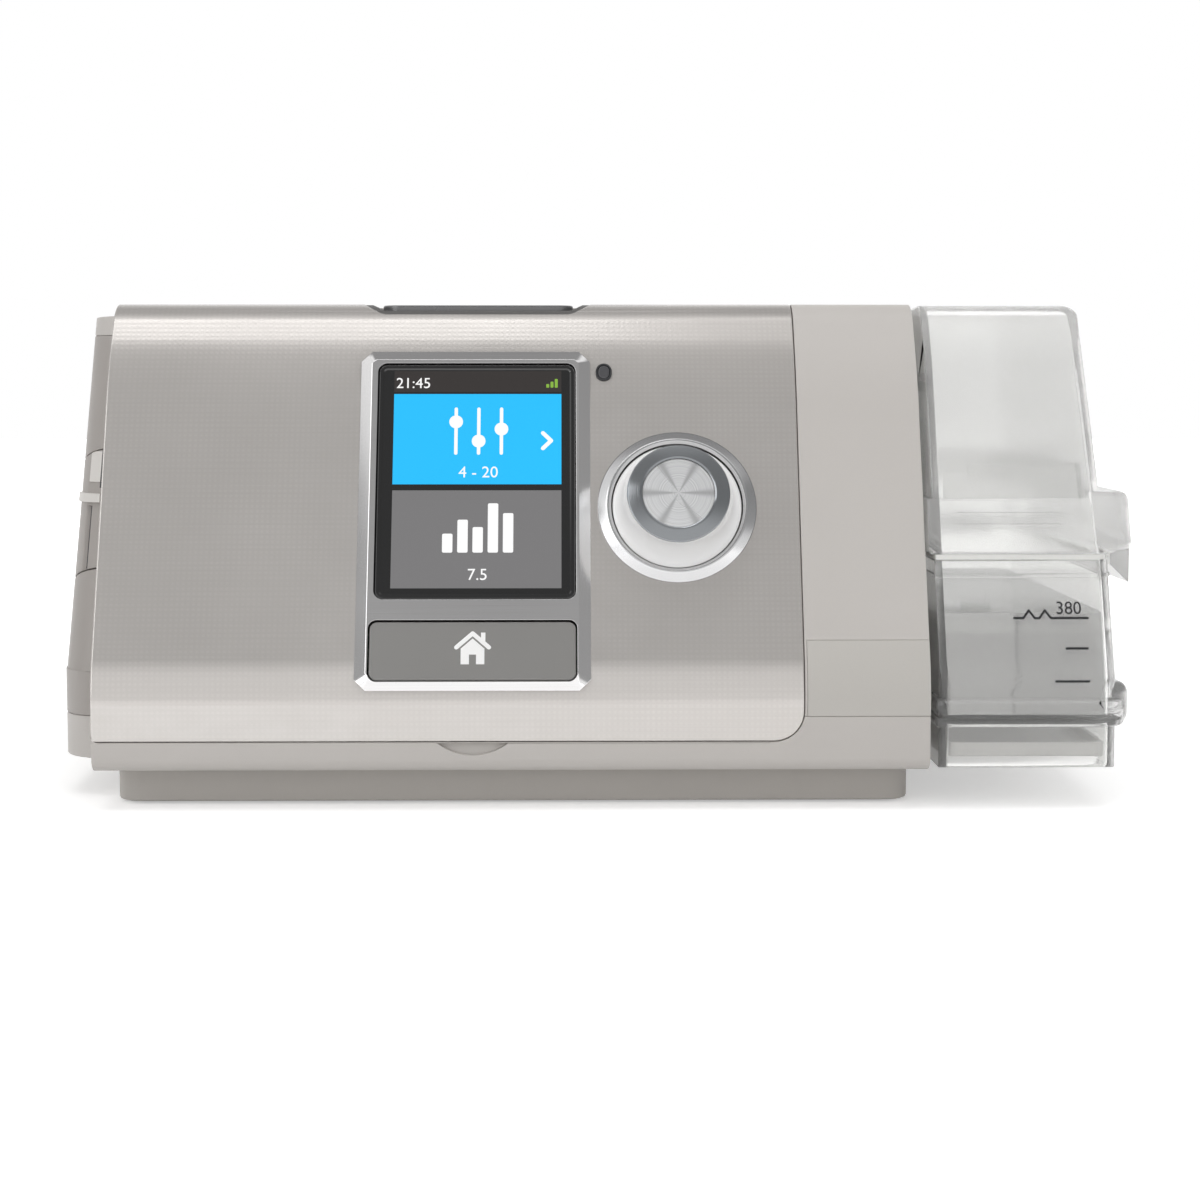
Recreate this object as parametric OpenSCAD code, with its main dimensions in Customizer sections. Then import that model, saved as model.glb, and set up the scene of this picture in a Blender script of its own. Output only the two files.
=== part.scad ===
// Bedside breathing machine with a clear slide-in water tub, a screen, a turn-and-push dial and two buttons
// Origin: middle of the footprint, on the surface that the machine stands on; the front faces -Y and +Z is up

/* [Overall] */
// Width over the left end and the lip of the tub
machine_w = 255; // [253:1:258]
// Depth over the screen frame and the rear wall
case_d = 150; // [149:1:154]
// Height of the top edge above the surface
case_h = 116; // [115.5:0.5:118]
// Height of the dark plinth under the case
plinth_h = 9; // [8.5:0.5:10]
// Wall of the case shells
wall = 2.4; // [2:0.2:2.6]

/* [Face] */
// Height where the upright front starts to lean back
knee_z = 29.5; // [28.5:0.5:31]
// Height of the brow over the shoulder of the face
brow_h = 16; // [15:0.5:17]
// Distance from the front foot back to the shoulder
shoulder_back = 29.2; // [28.5:0.2:30]
// Distance from the front foot back to the top edge
brow_back = 40.8; // [40:0.2:42]
// Fall of the top from the brow to the rear wall
top_fall = 3.7; // [3:0.1:4.5]
// Thickness of the metallic fascia
fascia_t = 2.4; // [2:0.1:2.6]
// Height of the lower edge of the fascia
fascia_z = 15.8; // [15.4:0.2:16.4]
// Distance that the fascia runs back over the top, from the front foot
fascia_run = 80; // [76:1:90]
// Radius of the lower right corner of the fascia
fascia_r = 7; // [5:0.5:8]
// Width of the plain column beside the fascia
column_w = 28.7; // [28:0.1:30]

/* [Left end] */
// Width of the end that bulges past the fascia
end_w = 15.1; // [14.6:0.1:15.6]
// Depth of the step from the face back to the end, square to the face
end_step = 19; // [17:0.5:20]
// Radius of the front corner of the end
end_r = 11.5; // [10:0.5:12]
// Height of the top of the end below the top of the case
end_drop = 2.2; // [2:0.1:3]
// Draft angle of the end
end_draft = 1.3; // [0.8:0.1:1.5]
// Upper edge of the lower piece at the end
end_low_z = 19; // [18:0.5:20]
// Distance from the top of the case down to the side panel of the end
end_strip = 7.5; // [7:0.5:8.5]

/* [Screen] */
// Distance from the right edge of the fascia to the middle of the screen
screen_side = 75.6; // [74.8:0.1:76.3]
// Height of the middle of the screen frame
screen_z = 66; // [65.5:0.1:66.5]
// Width of the screen frame
frame_w = 53.9; // [53:0.1:55]
// Length of the screen frame along the face
frame_l = 83; // [82:0.5:84]
// Height of the screen frame over the face
frame_t = 1.6; // [1.2:0.1:1.8]
// Width of the bevel round the screen frame
frame_bevel = 2.2; // [1.5:0.1:2.4]
// Width of the screen window
lens_w = 47.1; // [46:0.1:48]
// Length of the screen window along the face
lens_l = 57.4; // [56:0.2:58]
// Thickness of the screen window
lens_t = 1.5; // [1.2:0.1:1.6]
// Length of the home button along the face
home_l = 13.8; // [12.5:0.1:14]
// Travel of the home button
home_travel = 0.6; // [0.4:0.1:0.8]

/* [Start button] */
// Width of the start button
start_w = 46; // [42:1:47]
// Depth of the start button, front to back
start_d = 15; // [13:0.5:15.5]
// Depth of the scoop in the top edge
scoop_h = 2.5; // [2.4:0.1:2.8]
// Travel of the start button
start_travel = 0.8; // [0.6:0.1:0.9]

/* [Dial] */
// Distance from the right edge of the fascia to the middle of the dial
dial_side = 28.6; // [27.8:0.1:29.8]
// Height of the middle of the dial
dial_z = 68.4; // [67:0.2:69]
// Outer radius of the fixed ring
ring_r = 18.5; // [18:0.1:19.5]
// Radius of the foot of the knob
knob_r = 15; // [14.4:0.1:15.4]
// Radius of the top of the knob
knob_top_r = 11.8; // [11.2:0.1:12.2]
// Height of the knob over the face
knob_h = 10.2; // [9.5:0.1:11]
// Radius of the turned disc in the knob
disc_r = 8.3; // [7.5:0.1:8.8]
// Radius of the dial shaft
dial_shaft_r = 3; // [2.8:0.1:3.1]
// Travel of the dial when it is pushed
dial_travel = 0.8; // [0.5:0.1:0.9]

/* [Tub] */
// Width of the clear part of the tub outside the case
tub_out = 41.5; // [40.5:0.1:42]
// Distance that the tub lip reaches past the tub side
lip_out = 5.5; // [5:0.1:6]
// Gap between the case and the clear part of the tub
tub_gap = 2; // [1.5:0.1:2.2]
// Wall of the tub
tub_wall = 2; // [1.8:0.1:2.2]
// Height where the lid of the tub meets its base
tub_split_z = 57; // [56:0.5:57.5]
// Running clearance between the tub and its bay
tub_play = 0.5; // [0.4:0.1:0.6]
// Radius of the upright corners of the tub
tub_r = 9; // [8:0.5:10]

/* [Air path] */
// Height of the axis of both air ports
port_z = 68; // [67.5:0.1:68.5]
// Outer radius of the hose port, for a 22 mm cuff
outlet_r = 11; // [11:0.1:11]
// Inner radius of the hose port, for a 15 mm fitting
outlet_bore_r = 7.5; // [7.5:0.1:7.5]
// Distance from the bay to the middle of the hose port
outlet_side = 24; // [24:0.1:26]
// Bore radius of the duct between blower and tub
duct_r = 8.5; // [8:0.1:8.8]
// Distance from the left edge of the fascia to the blower axis
blower_side = 42.4; // [41.4:0.1:43.4]
// Distance from the middle of the machine back to the blower axis
blower_y = 9; // [8:0.5:10]
// Outer radius of the blower housing
blower_r = 36; // [35.5:0.1:36.2]
// Radius of the impeller
impeller_r = 30; // [28:0.5:31]

/* [Rear and side fittings] */
// Width of the filter door
filter_w = 46; // [44:1:48]
// Height of the filter door
filter_h = 42; // [40:1:43]
// Width of the power socket
inlet_w = 16; // [15:0.5:17]
// Height of the power socket
inlet_h = 12; // [11:0.5:13]
// Radius of the rubber feet
foot_r = 7; // [6:0.5:8]

/* [Hidden] */
$fn = 64;

// Overlap that lets a cut pass right through a wall
eps = 0.5;
// Gap between a moving piece and what surrounds it
play = 0.3;
// Radial clearance of a turning shaft or pin
pin_play = 0.05;
// Thin seam round the fascia
seam_gap = 0.15;

// Distance that the lower edge of the screen frame stands in front of the front foot
face_proud = 1.55;
// Edges of the case, left to right
x_end = -machine_w / 2;
x_fl = x_end + end_w;
x_tub1 = machine_w / 2 - lip_out;
x_tub0 = x_tub1 - tub_out;
x_case = x_tub0 - tub_gap;
x_seam = x_case - column_w;
// Front and rear of the case
y_f = -case_d / 2 + face_proud;
y_b = case_d / 2;
y_split = y_b - 15;
y_fascia = y_f + fascia_run;
// Middles of the screen, the dial and the blower
screen_x = x_seam - screen_side;
dial_x = x_seam - dial_side;
blower_x = x_fl + blower_side;
// Height where the leaning face turns into the brow
shoulder_z = case_h - brow_h;
// Lean of the face
lean = atan2(shoulder_back, shoulder_z - knee_z);
// Floor of the case and seam between its lower and upper shells
floor_z = plinth_h + wall;
seam_z = fascia_z - 0.2;
label_z = [21.6, 38.6];
skin = fascia_t + wall;
end_top_z = case_h - end_strip;

// Radii of the case profile: front foot, rear foot, rear top, brow, shoulder, knee
PROFILE_R = [3, 4, 14, 10, 80, 28];
ARC_STEPS = 7;

// Points and arcs in the plane
function unit(v) = v / norm(v);
function left_of(v) = [-v.y, v.x];
function corner_normal(a, b) = left_of(unit(b - a));
function inset(pts, d) = [
    for (i = [0 : len(pts) - 1])
        let (
            n = len(pts),
            a = corner_normal(pts[(i + n - 1) % n], pts[i]),
            b = corner_normal(pts[i], pts[(i + 1) % n])
        )
        pts[i] + d * (a + b) / (1 + a * b)
];
function bend(p0, p1, p2, r, steps) =
    let (
        u = unit(p0 - p1), v = unit(p2 - p1), half = acos(u * v) / 2,
        centre = p1 + unit(u + v) * r / sin(half), start = p1 + u * r / tan(half) - centre,
        a0 = atan2(start.y, start.x), turn = (180 - 2 * half) * sign(cross(p1 - p0, p2 - p1))
    )
    [for (i = [0 : steps]) centre + r * [cos(a0 + turn * i / steps), sin(a0 + turn * i / steps)]];
function rounded(pts, radii, steps = ARC_STEPS) = [
    for (i = [0 : len(pts) - 1])
        let (n = len(pts), r = radii[i])
        for (p = r > 0 ? bend(pts[(i + n - 1) % n], pts[i], pts[(i + 1) % n], r, steps) : [pts[i]]) p
];
function box_points(w, l, r, steps = ARC_STEPS) =
    rounded([[-w / 2, -l / 2], [w / 2, -l / 2], [w / 2, l / 2], [-w / 2, l / 2]], [r, r, r, r], steps);

// Side profile of the case as (y, z) points, drawn in by d, with its top lowered by drop
function profile_corners(drop) = [
    [y_f, plinth_h], [y_b, plinth_h], [y_b, case_h - top_fall - drop], [y_f + brow_back, case_h - drop],
    [y_f + shoulder_back, shoulder_z], [y_f, knee_z]
];
function profile(d, drop = 0) =
    rounded(inset(profile_corners(drop), d), [for (r = PROFILE_R) max(r - d, 0.8)]);

// Position on the leaning face: distance along it from the knee
function along(z) = (z - knee_z) / cos(lean);

// A slab with a side profile between two positions across the machine
module slab(x0, x1, pts) {
    translate([x0, 0, 0]) rotate([90, 0, 90]) linear_extrude(x1 - x0) polygon(pts);
}

// A box between two corners
module block(a, b) {
    translate(a) cube(b - a);
}

// A post between two heights and a rod along X or Y from a point
module post(p, z0, z1, r) {
    translate([p.x, p.y, z0]) cylinder(h = z1 - z0, r = r);
}
module rod_x(p, r, l) {
    translate(p) rotate([0, 90, 0]) cylinder(h = l, r = r);
}
module rod_y(p, r, l) {
    translate(p) rotate([-90, 0, 0]) cylinder(h = l, r = r);
}
module tube(h, r_out, r_in) {
    difference() {
        cylinder(h = h, r = r_out);
        translate([0, 0, -eps]) cylinder(h = h + 2 * eps, r = r_in);
    }
}

// Children drawn on the leaning face at (x, z): x across, y up the face, z square out of it
module on_face(x, z) {
    translate([0, y_f, knee_z]) rotate([90 - lean, 0, 0]) translate([x, along(z), 0]) children();
}

// Children drawn on the rear wall at (x, z): x towards -X, y up, z out of the rear
module on_rear(x, z) {
    translate([x, y_b, z]) rotate([90, 0, 180]) children();
}

// A rounded plate on the local XY plane between two heights
module plate(w, l, r, z0, z1) {
    translate([0, 0, z0]) linear_extrude(z1 - z0) polygon(box_points(w, l, r));
}

// Left end

// Plan of the end, as (x, distance behind the face) points, drawn in by d: its side toes in towards the front
end_side_s = case_d - 50;
end_toe = 4;
end_back_r = 10;
end_front_x = x_end + end_toe;
END_PLAN = [
    [x_fl + 20, 260], [x_fl + 20, end_step], [end_front_x, end_step],
    [x_end, end_step + end_side_s], [x_end, 260]
];
function end_plan(d) =
    let (p = inset([for (i = [4 : -1 : 0]) END_PLAN[i]], d))
    rounded(p, [0, 40, end_r - d, 0, 0]);
// Turn of the side of the end against the straight-back direction
end_side_turn = atan2(end_front_x - x_end, end_side_s);

module end_frame() {
    translate([0, y_f, knee_z]) rotate([90 - lean, 0, 0]) translate([x_end, 0, 0]) rotate([0, 0, -end_draft])
        translate([-x_end, 0, 0]) children();
}

// Solid of the left end, drawn in by d, reaching past the edge of the fascia by reach
module end_block(d, reach = 0) {
    intersection() {
        slab(x_end - 5, x_fl + reach, profile(d, end_drop));
        translate([0, 0, -5]) linear_extrude(case_h + 10)
            polygon(rounded([
                [x_end + d, -case_d], [x_fl + 20, -case_d], [x_fl + 20, y_b - d], [x_end + d, y_b - d]
            ], [0, 0, 0, end_back_r - d]));
        union() {
            intersection() {
                end_frame() rotate([-90, 0, 0]) translate([0, 0, -80])
                    linear_extrude(240) polygon(end_plan(d));
                block([x_end - 20, -case_d, knee_z], [x_fl + 30, case_d, case_h + 10]);
            }
            translate([0, y_f, -1]) linear_extrude(knee_z + 1.01)
                polygon([for (p = end_plan(d)) [p.x, p.y / cos(lean)]]);
        }
    }
}

module end_shell() {
    difference() {
        end_block(0);
        end_block(wall, wall);
    }
}

// Children drawn on the side of the end, s behind its corner and h up: x forwards, y up the end, z out of it
function end_up(z, depth) = (z - knee_z + depth * sin(lean)) / cos(lean);
module on_side(s, h) {
    end_frame() translate([end_front_x - s * sin(end_side_turn), h, -end_step - s * cos(end_side_turn)])
        rotate([0, end_side_turn - 90, 0]) children();
}

// Case shells

module front_outline(d = 0) {
    translate([0, y_f - 5, 0]) rotate([-90, 0, 0]) linear_extrude(fascia_run + 5 - d) mirror([0, 1])
        polygon(rounded([
            [x_fl, fascia_z + d], [x_seam - d, fascia_z + d], [x_seam - d, case_h + 10], [x_fl, case_h + 10]
        ], [1.5, fascia_r - d, 0, 0]));
}

// Layer that the fascia fills, open outwards
module fascia_room() {
    intersection() {
        difference() {
            slab(x_fl - 1, x_seam, profile(-2));
            slab(x_fl - 2, x_seam + 1, profile(fascia_t));
        }
        front_outline();
    }
}

// Hollow of the whole case
module hollow() {
    slab(x_fl + wall, x_case - wall, profile(skin));
    slab(x_seam + wall, x_case - wall, profile(wall));
    intersection() {
        slab(x_fl + wall, x_case - wall, profile(wall));
        block([x_fl, y_fascia + wall, 0], [x_case, y_b, case_h]);
    }
    end_block(wall, wall + 0.01);
}

module case_shell() {
    difference() {
        union() {
            difference() {
                slab(x_fl, x_case, profile(0));
                fascia_room();
            }
            end_block(0);
        }
        hollow();
    }
}

// Room that belongs to the lower shell
module lower_room() {
    block([x_end - 5, y_f - 5, 0], [x_case + 5, y_b + 5, seam_z]);
    block([x_seam - fascia_r - 1, y_f - 5, 0], [x_case + 5, bay_y[0], label_z[0]]);
    block([x_end - 5, y_f - 5, 0], [x_fl, y_split, end_low_z]);
}

// Bay for the tub
bay_wall = 2;
bay_x = x_fl + 108.4;
outlet_x = bay_x - outlet_side;
bay_y = [y_f + 39.45, y_split];
bay_z = [floor_z, case_h - 16.6];
// Ports on the inner end of the bay, as positions front to back
port_y = [bay_y[0] + 14, bay_y[1] - 22];
seal_x = bay_x + bay_wall;

module bay_mouth() {
    block([bay_x, bay_y[0], bay_z[0]], [x_case + 1, bay_y[1], bay_z[1]]);
}

// Hinge pins and knuckles of the small doors
door_t = 2;
knuckle_r = 1.4;
door_pin_r = 0.8;
door_pin_l = 2;
ear_t = 3;

// Ears that carry a door's pins, at both ends of a door of length l, on the local Y axis below the surface
module door_ears(l) {
    for (side = [-1, 1])
        translate([-3, side * (l / 2 + play + ear_t / 2) - ear_t / 2, -knuckle_r - 3])
            cube([6, ear_t, 3 + knuckle_r - door_t + 0.01]);
}

module door_bore(l) {
    translate([0, 0, -knuckle_r]) rotate([90, 0, 0])
        cylinder(h = l + 2 * (play + ear_t), r = door_pin_r + pin_play, center = true);
}

module door_knuckle(l) {
    translate([0, 0, -knuckle_r]) rotate([90, 0, 0]) {
        cylinder(h = l, r = knuckle_r, center = true);
        cylinder(h = l + 2 * (play + door_pin_l), r = door_pin_r, center = true);
    }
}

// Card door: wraps the front corner of the end, hinged at its rear edge
card_s = 26;
card_h = end_up(67, end_step + 2);
card_l = 30;
card_reach = 40;
card_front_x = x_fl - 3.4;

// Room of the card door, widened by gap and reaching behind its hinge axis
module card_room(gap, behind) {
    on_side(card_s, card_h) translate([-behind, -card_l / 2 - gap, -30])
        cube([card_reach + behind, card_l + 2 * gap, 40]);
}

module card_room_front(gap, behind) {
    intersection() {
        card_room(gap, behind);
        block([x_end - 20, y_f - 5, 0], [card_front_x + gap, y_b, case_h]);
    }
}

// Adapter door: flat on the side of the end
adapter_s = case_d - 66;
adapter_l = 26;
adapter_w = 34;
adapter_h = end_up(52, end_step + adapter_s - adapter_w / 2);

module adapter_room(gap, behind) {
    on_side(adapter_s, adapter_h) translate([-behind, -adapter_l / 2 - gap, -10])
        cube([behind + adapter_w + gap, adapter_l + 2 * gap, 20]);
}

// Outer skin of the end, as thick as a door
module end_skin() {
    difference() {
        end_block(0);
        end_block(door_t, door_t);
    }
}

// Rear fittings
filter_x = x_fl + 25.4;
filter_z = case_h - 44;
alcove_w = 40;
alcove_d = 18;
alcove_y = y_b - alcove_d;
inlet_x = x_fl + 57.4;
inlet_z = 29;
recess_w = 34;
recess_h = 22;
recess_d = 12;
clip_z = 7;
clip_y = 5;
clip_arm = 3;
clip_w = 26;

module lower_housing() {
    color("#bcb7b2") difference() {
        union() {
            intersection() {
                case_shell();
                lower_room();
            }
            for (p = screw_points) post(p, floor_z - 0.01, floor_z + boss_h, boss_r);
            for (p = mount_points) post(p, floor_z - 0.01, post_z, post_r);
            for (p = board_posts) post(p, floor_z - 0.01, board_z, board_post_r);
        }
        for (p = screw_points) post(p, 0, floor_z + boss_h - 1.5, screw_r);
        bay_cut();
        scallop();
    }
}

// The lower shell is cut only where the bay stands above its floor
module bay_cut() {
    block([bay_x, bay_y[0], floor_z], [x_case + 1, bay_y[1], case_h]);
}

// Thumb scallop under the fascia
scallop_w = 16;
scallop_h = 2.8;
scallop_r = (pow(scallop_w / 2, 2) + pow(scallop_h, 2)) / (2 * scallop_h);
module scallop() {
    rod_y([screen_x, y_f - 1, seam_z - scallop_h + scallop_r], scallop_r, 2.2);
}

// Fixing points, kept as places on the floor of the case
screw_r = 1.5;
screw_head_r = 3.2;
screw_head_t = 1.6;
boss_r = 4;
boss_h = 9;
screw_points = [for (x = [x_fl + 9, x_case - 9], y = [y_f + 30, y_b - 10.5]) [x, y]];
post_r = 4;
post_z = 50;
mount_ring = 43;
mount_points = [for (a = [90, 210, 330]) [blower_x + mount_ring * cos(a), blower_y + mount_ring * sin(a)]];
board_z = 16;
board_t = 1.6;
board_post_r = 3;
post_hole_r = 1.3;
board_x = [x_fl + 6.4, bay_x - 4];
board_y = [y_f + 17, y_split - 4];
board_posts = [
    [board_x[0] + 14, board_y[0] + 16.45], [board_x[1] - 8, board_y[0] + 16.45],
    [board_x[0] + 14, board_y[1] - 6], [board_x[1] - 8, board_y[1] - 26]
];

module upper_housing() {
    color("#d2cdc8") difference() {
        union() {
            difference() {
                intersection() {
                    case_shell();
                    block([x_end - 5, y_f - 5, 0], [x_case + 5, y_split, case_h + 5]);
                }
                lower_room();
                // The side panel takes the middle of the end
                block([x_end - 5, y_f - 5, 0], [x_fl, y_b, end_top_z]);
            }
            face_bosses();
            top_bosses();
        }
        bay_mouth();
        label_cut(label_t);
        scoop();
        start_room(play);
        screen_window();
        sensor_window();
        on_face(dial_x, dial_z) {
            translate([0, 0, -skin - eps]) cylinder(h = skin + 2 * eps, r = bush_r);
            translate([0, 0, -fascia_t - 0.01]) cylinder(h = fascia_t + eps, r = ring_r - ring_lap);
        }
    }
}

// Display board on bosses behind the face
display_d = 12;
display_x = [screen_x - 34.2, dial_x + 14.8];
display_y = [-36, 21];
display_posts = [
    for (x = [display_x[0] + 3.5, display_x[1] - 5], y = [display_y[0] + 5, display_y[1] - 4]) [x, y]
];
face_boss_r = 2.6;

module face_bosses() {
    on_face(0, dial_z) for (p = display_posts) post(p, -display_d, -fascia_t - 0.5, face_boss_r);
}

// Button board hung from the top
button_board_z = case_h - 15.5;
button_board_w = start_w + 14;
button_y = y_f + brow_back + 11;
module top_bosses() {
    for (side = [-1, 1])
        post([screen_x + side * (button_board_w / 2 - 2.5), button_y],
            button_board_z + board_t, case_h - fascia_t - 1, 2.4);
}

label_t = 0.9;
module label_room() {
    block([x_seam + 0.6, y_f - 5, label_z[0]], [x_case, 0, label_z[1]]);
}
module label_cut(t) {
    intersection() {
        difference() {
            slab(x_seam, x_case + 1, profile(-1));
            slab(x_seam - 1, x_case + 2, profile(t));
        }
        label_room();
    }
}

// Scoop in the top edge for the start button: its ends rise in a curve
scoop_w = 55;
scoop_end = 5;
scoop_run = 20;
module scoop() {
    translate([screen_x, y_f, 0]) rotate([-90, 0, 0]) linear_extrude(brow_back + scoop_run) mirror([0, 1])
        polygon(rounded([
            [-scoop_w / 2, case_h + 6], [-scoop_w / 2, case_h], [-scoop_w / 2 + scoop_end, case_h - scoop_h],
            [scoop_w / 2 - scoop_end, case_h - scoop_h], [scoop_w / 2, case_h], [scoop_w / 2, case_h + 6]
        ], [0, 0, 4, 4, 0, 0]));
}

start_top = case_h - scoop_h + 1.2;
start_t = 4.6;
module start_room(gap) {
    translate([screen_x, button_y, 0])
        plate(start_w + 2 * gap, start_d + 2 * gap, 4.5 + gap, start_top - start_t - 4, start_top + 4);
}

flange_w = frame_w - 2 * frame_bevel;
flange_l = frame_l - 2 * frame_bevel;
module screen_window() {
    on_face(screen_x, screen_z) plate(flange_w, flange_l, 2, -skin - eps, fascia_t + 2);
}

sensor_x = dial_x - 16.8;
sensor_z = shoulder_z - 0.4;
sensor_w = 3.8;
sensor_l = 4.4;
module sensor_window() {
    on_face(sensor_x, sensor_z) plate(sensor_w, sensor_l, sensor_w / 2 - 0.01, -skin - 2, 2);
}

module rear_housing() {
    color("#cfcac5") difference() {
        union() {
            intersection() {
                case_shell();
                block([x_end - 5, y_split, seam_z], [x_case + 5, y_b + 5, case_h + 5]);
            }
            // Walls of the filter chamber, the hose alcove and the plug recess
            on_rear(filter_x, filter_z)
                plate(filter_w + filter_ledge, filter_h + filter_ledge, 3, -filter_depth[0] - 1.5, -0.5);
            on_rear(outlet_x, port_z)
                plate(alcove_w + 2 * wall, alcove_w + 2 * wall, 5, -alcove_d - wall, -0.5);
            on_rear(inlet_x, inlet_z)
                plate(recess_w + 2 * wall, recess_h + 2 * wall, 3, -recess_d - wall, -0.5);
            on_rear(filter_x, filter_z) translate([-filter_w / 2, 0, 0]) door_ears(filter_h);
        }
        // Filter chamber, open to the rear; its ledge holds the filter
        on_rear(filter_x, filter_z) {
            plate(filter_w + 2 * play, filter_h + 2 * play, 2, -door_t - play, 2);
            translate([-filter_w / 2, 0, -2 * knuckle_r - play])
                plate(2 * knuckle_r + 2 * play, filter_h + 2 * play, 0.5, 0, 6);
            plate(filter_w - filter_ledge, filter_h - filter_ledge, 2, -filter_depth[0], 1);
            plate(filter_w - 2 * filter_ledge, filter_h - 2 * filter_ledge, 2, -filter_depth[0] - 4, 1);
        }
        on_rear(filter_x, filter_z) translate([-filter_w / 2, 0, 0]) door_bore(filter_h);
        // Hose alcove with the hole for the outlet
        on_rear(outlet_x, port_z) {
            plate(alcove_w, alcove_w, 4, -alcove_d, 2);
            translate([0, 0, -alcove_d - wall - 1]) cylinder(h = wall + 2, r = elbow_r);
        }
        // Plug recess with the hole for the socket and the pivots of the clip
        on_rear(inlet_x, inlet_z) {
            plate(recess_w, recess_h, 2, -recess_d, 2);
            plate(inlet_w, inlet_h, 1.5, -recess_d - wall - 1, 0);
        }
        rod_x([inlet_x - recess_w / 2 - wall - 1, y_b - clip_y, inlet_z + clip_z], clip_pin_r + pin_play,
            recess_w + 2 * wall + 2);
    }
}

module side_panel() {
    color("#a39d98") difference() {
        union() {
            intersection() {
                end_shell();
                block([x_end - 5, y_f - 5, end_low_z], [x_fl, y_split, end_top_z]);
            }
            on_side(card_s, card_h) door_ears(card_l);
            on_side(adapter_s, adapter_h) door_ears(adapter_l);
        }
        card_room_front(play, knuckle_r + play);
        adapter_room(play, knuckle_r + play);
        on_side(card_s, card_h) door_bore(card_l);
        on_side(adapter_s, adapter_h) door_bore(adapter_l);
    }
}

module fascia() {
    color("#b9b5b1") difference() {
        intersection() {
            slab(x_fl, x_seam, profile(0));
            fascia_room();
            front_outline(seam_gap);
        }
        start_room(play);
        screen_window();
        sensor_window();
        scoop();
        on_face(dial_x, dial_z) translate([0, 0, -skin]) cylinder(h = skin + 4, r = ring_r - ring_lap);
    }
}

module label_plate() {
    color("#c6c1bc") intersection() {
        difference() {
            slab(x_seam + 0.6, x_case, profile(0));
            slab(x_seam - 1, x_case + 2, profile(label_t));
        }
        label_room();
    }
}

// Screen frame: a bevelled plate with a flange behind it, a ledge for the window and room for the home button
frame_cut = 3;
frame_edge = 0.4;
bevel_run = frame_bevel - frame_edge;
lens_y = frame_l / 2 - 3.2 - lens_l / 2;
home_y = -frame_l / 2 + 2.2 + home_l / 2;
home_w = lens_w;
function chamfered(w, l, c) = [
    [-w / 2 + c, -l / 2], [w / 2 - c, -l / 2], [w / 2, -l / 2 + c], [w / 2, l / 2 - c],
    [w / 2 - c, l / 2], [-w / 2 + c, l / 2], [-w / 2, l / 2 - c], [-w / 2, -l / 2 + c]
];

module screen_frame() {
    color("#9fa1a4") on_face(screen_x, screen_z) difference() {
        union() {
            hull() {
                linear_extrude(frame_edge) polygon(chamfered(frame_w, frame_l, frame_cut));
                linear_extrude(frame_t)
                    polygon(chamfered(frame_w - 2 * bevel_run, frame_l - 2 * bevel_run, frame_cut - 1));
            }
            plate(flange_w, flange_l, 2, -skin, 0.1);
        }
        translate([0, lens_y, 0]) plate(lens_w, lens_l, 2.2, lens_z0, frame_t + 1);
        translate([0, lens_y, 0]) plate(lens_w - 2, lens_l - 2, 1.5, -skin - 1, frame_t + 1);
        translate([0, home_y, 0]) plate(home_w + 2 * play, home_l + 2 * play, 2, -skin - 1, frame_t + 1);
    }
}

lens_z0 = frame_t - lens_t - 0.5;
module screen_lens() {
    color("#15161a") on_face(screen_x, screen_z) translate([0, lens_y, 0])
        plate(lens_w, lens_l, 2.2, lens_z0, lens_z0 + lens_t);
}

lcd_t = 3.5;
module lcd_module() {
    color("#2a2c30") on_face(screen_x, screen_z) translate([0, lens_y, 0])
        plate(lens_w - 2.2, lens_l - 2.2, 1.5, lens_z0 - lcd_t, lens_z0);
}

module display_board() {
    color("#1f5a38") on_face(0, dial_z) difference() {
        translate([display_x[0], display_y[0], -display_d - board_t])
            cube([display_x[1] - display_x[0], display_y[1] - display_y[0], board_t]);
        for (p = display_posts) post(p, -display_d - board_t - 1, -display_d + 1, post_hole_r);
    }
}

module light_sensor() {
    color("#0c0c0d") on_face(sensor_x, sensor_z)
        plate(sensor_w, sensor_l, sensor_w / 2 - 0.01, -skin - 1.2, -0.7);
}

home_z1 = frame_t - 0.6;
home_t = 2.6;
stem_r = 2;
module home_button() {
    color("#8d8b88") on_face(screen_x, screen_z) translate([0, home_y, 0]) {
        plate(home_w, home_l, 1.8, home_z1 - home_t, home_z1);
        post([0, 0], -display_d + switch_t + home_travel + 0.1, home_z1 - home_t + 0.1, stem_r);
    }
}

switch_t = 3.4;
switch_w = 6;
module home_switch() {
    color("#222222") on_face(screen_x, screen_z) translate([0, home_y, -display_d])
        plate(switch_w, switch_w, 0.6, 0, switch_t);
}

start_switch_top = button_board_z + board_t + switch_t;
module start_button() {
    color("#b1aca7") translate([screen_x, button_y, 0]) {
        plate(start_w, start_d, 4.5, start_top - start_t, start_top);
        post([0, 0], start_switch_top + start_travel + 0.1, start_top - start_t + 0.1, stem_r);
    }
}

module start_switch() {
    color("#222222") translate([screen_x, button_y, 0])
        plate(switch_w, switch_w, 0.6, start_switch_top - switch_t, start_switch_top);
}

module button_board() {
    color("#1f5a38") translate([screen_x, button_y, 0])
        plate(button_board_w, start_d - 3, 1, button_board_z, button_board_z + board_t);
}

// Dial: ring on the face, encoder on the display board, knob on the encoder shaft
bush_r = 4.6;
plunger_r = 5.2;
ring_lap = 1.5;
ring_t = 1.4;
module dial_ring() {
    color("#c9cacc") on_face(dial_x, dial_z) rotate_extrude() polygon([
        [knob_r + play, -fascia_t], [ring_r - ring_lap, -fascia_t], [ring_r - ring_lap, 0], [ring_r, 0],
        [ring_r, ring_t - 0.9], [ring_r - 1, ring_t],
        [knob_r + play + 0.4, ring_t], [knob_r + play, ring_t - 0.4]
    ]);
}

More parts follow.
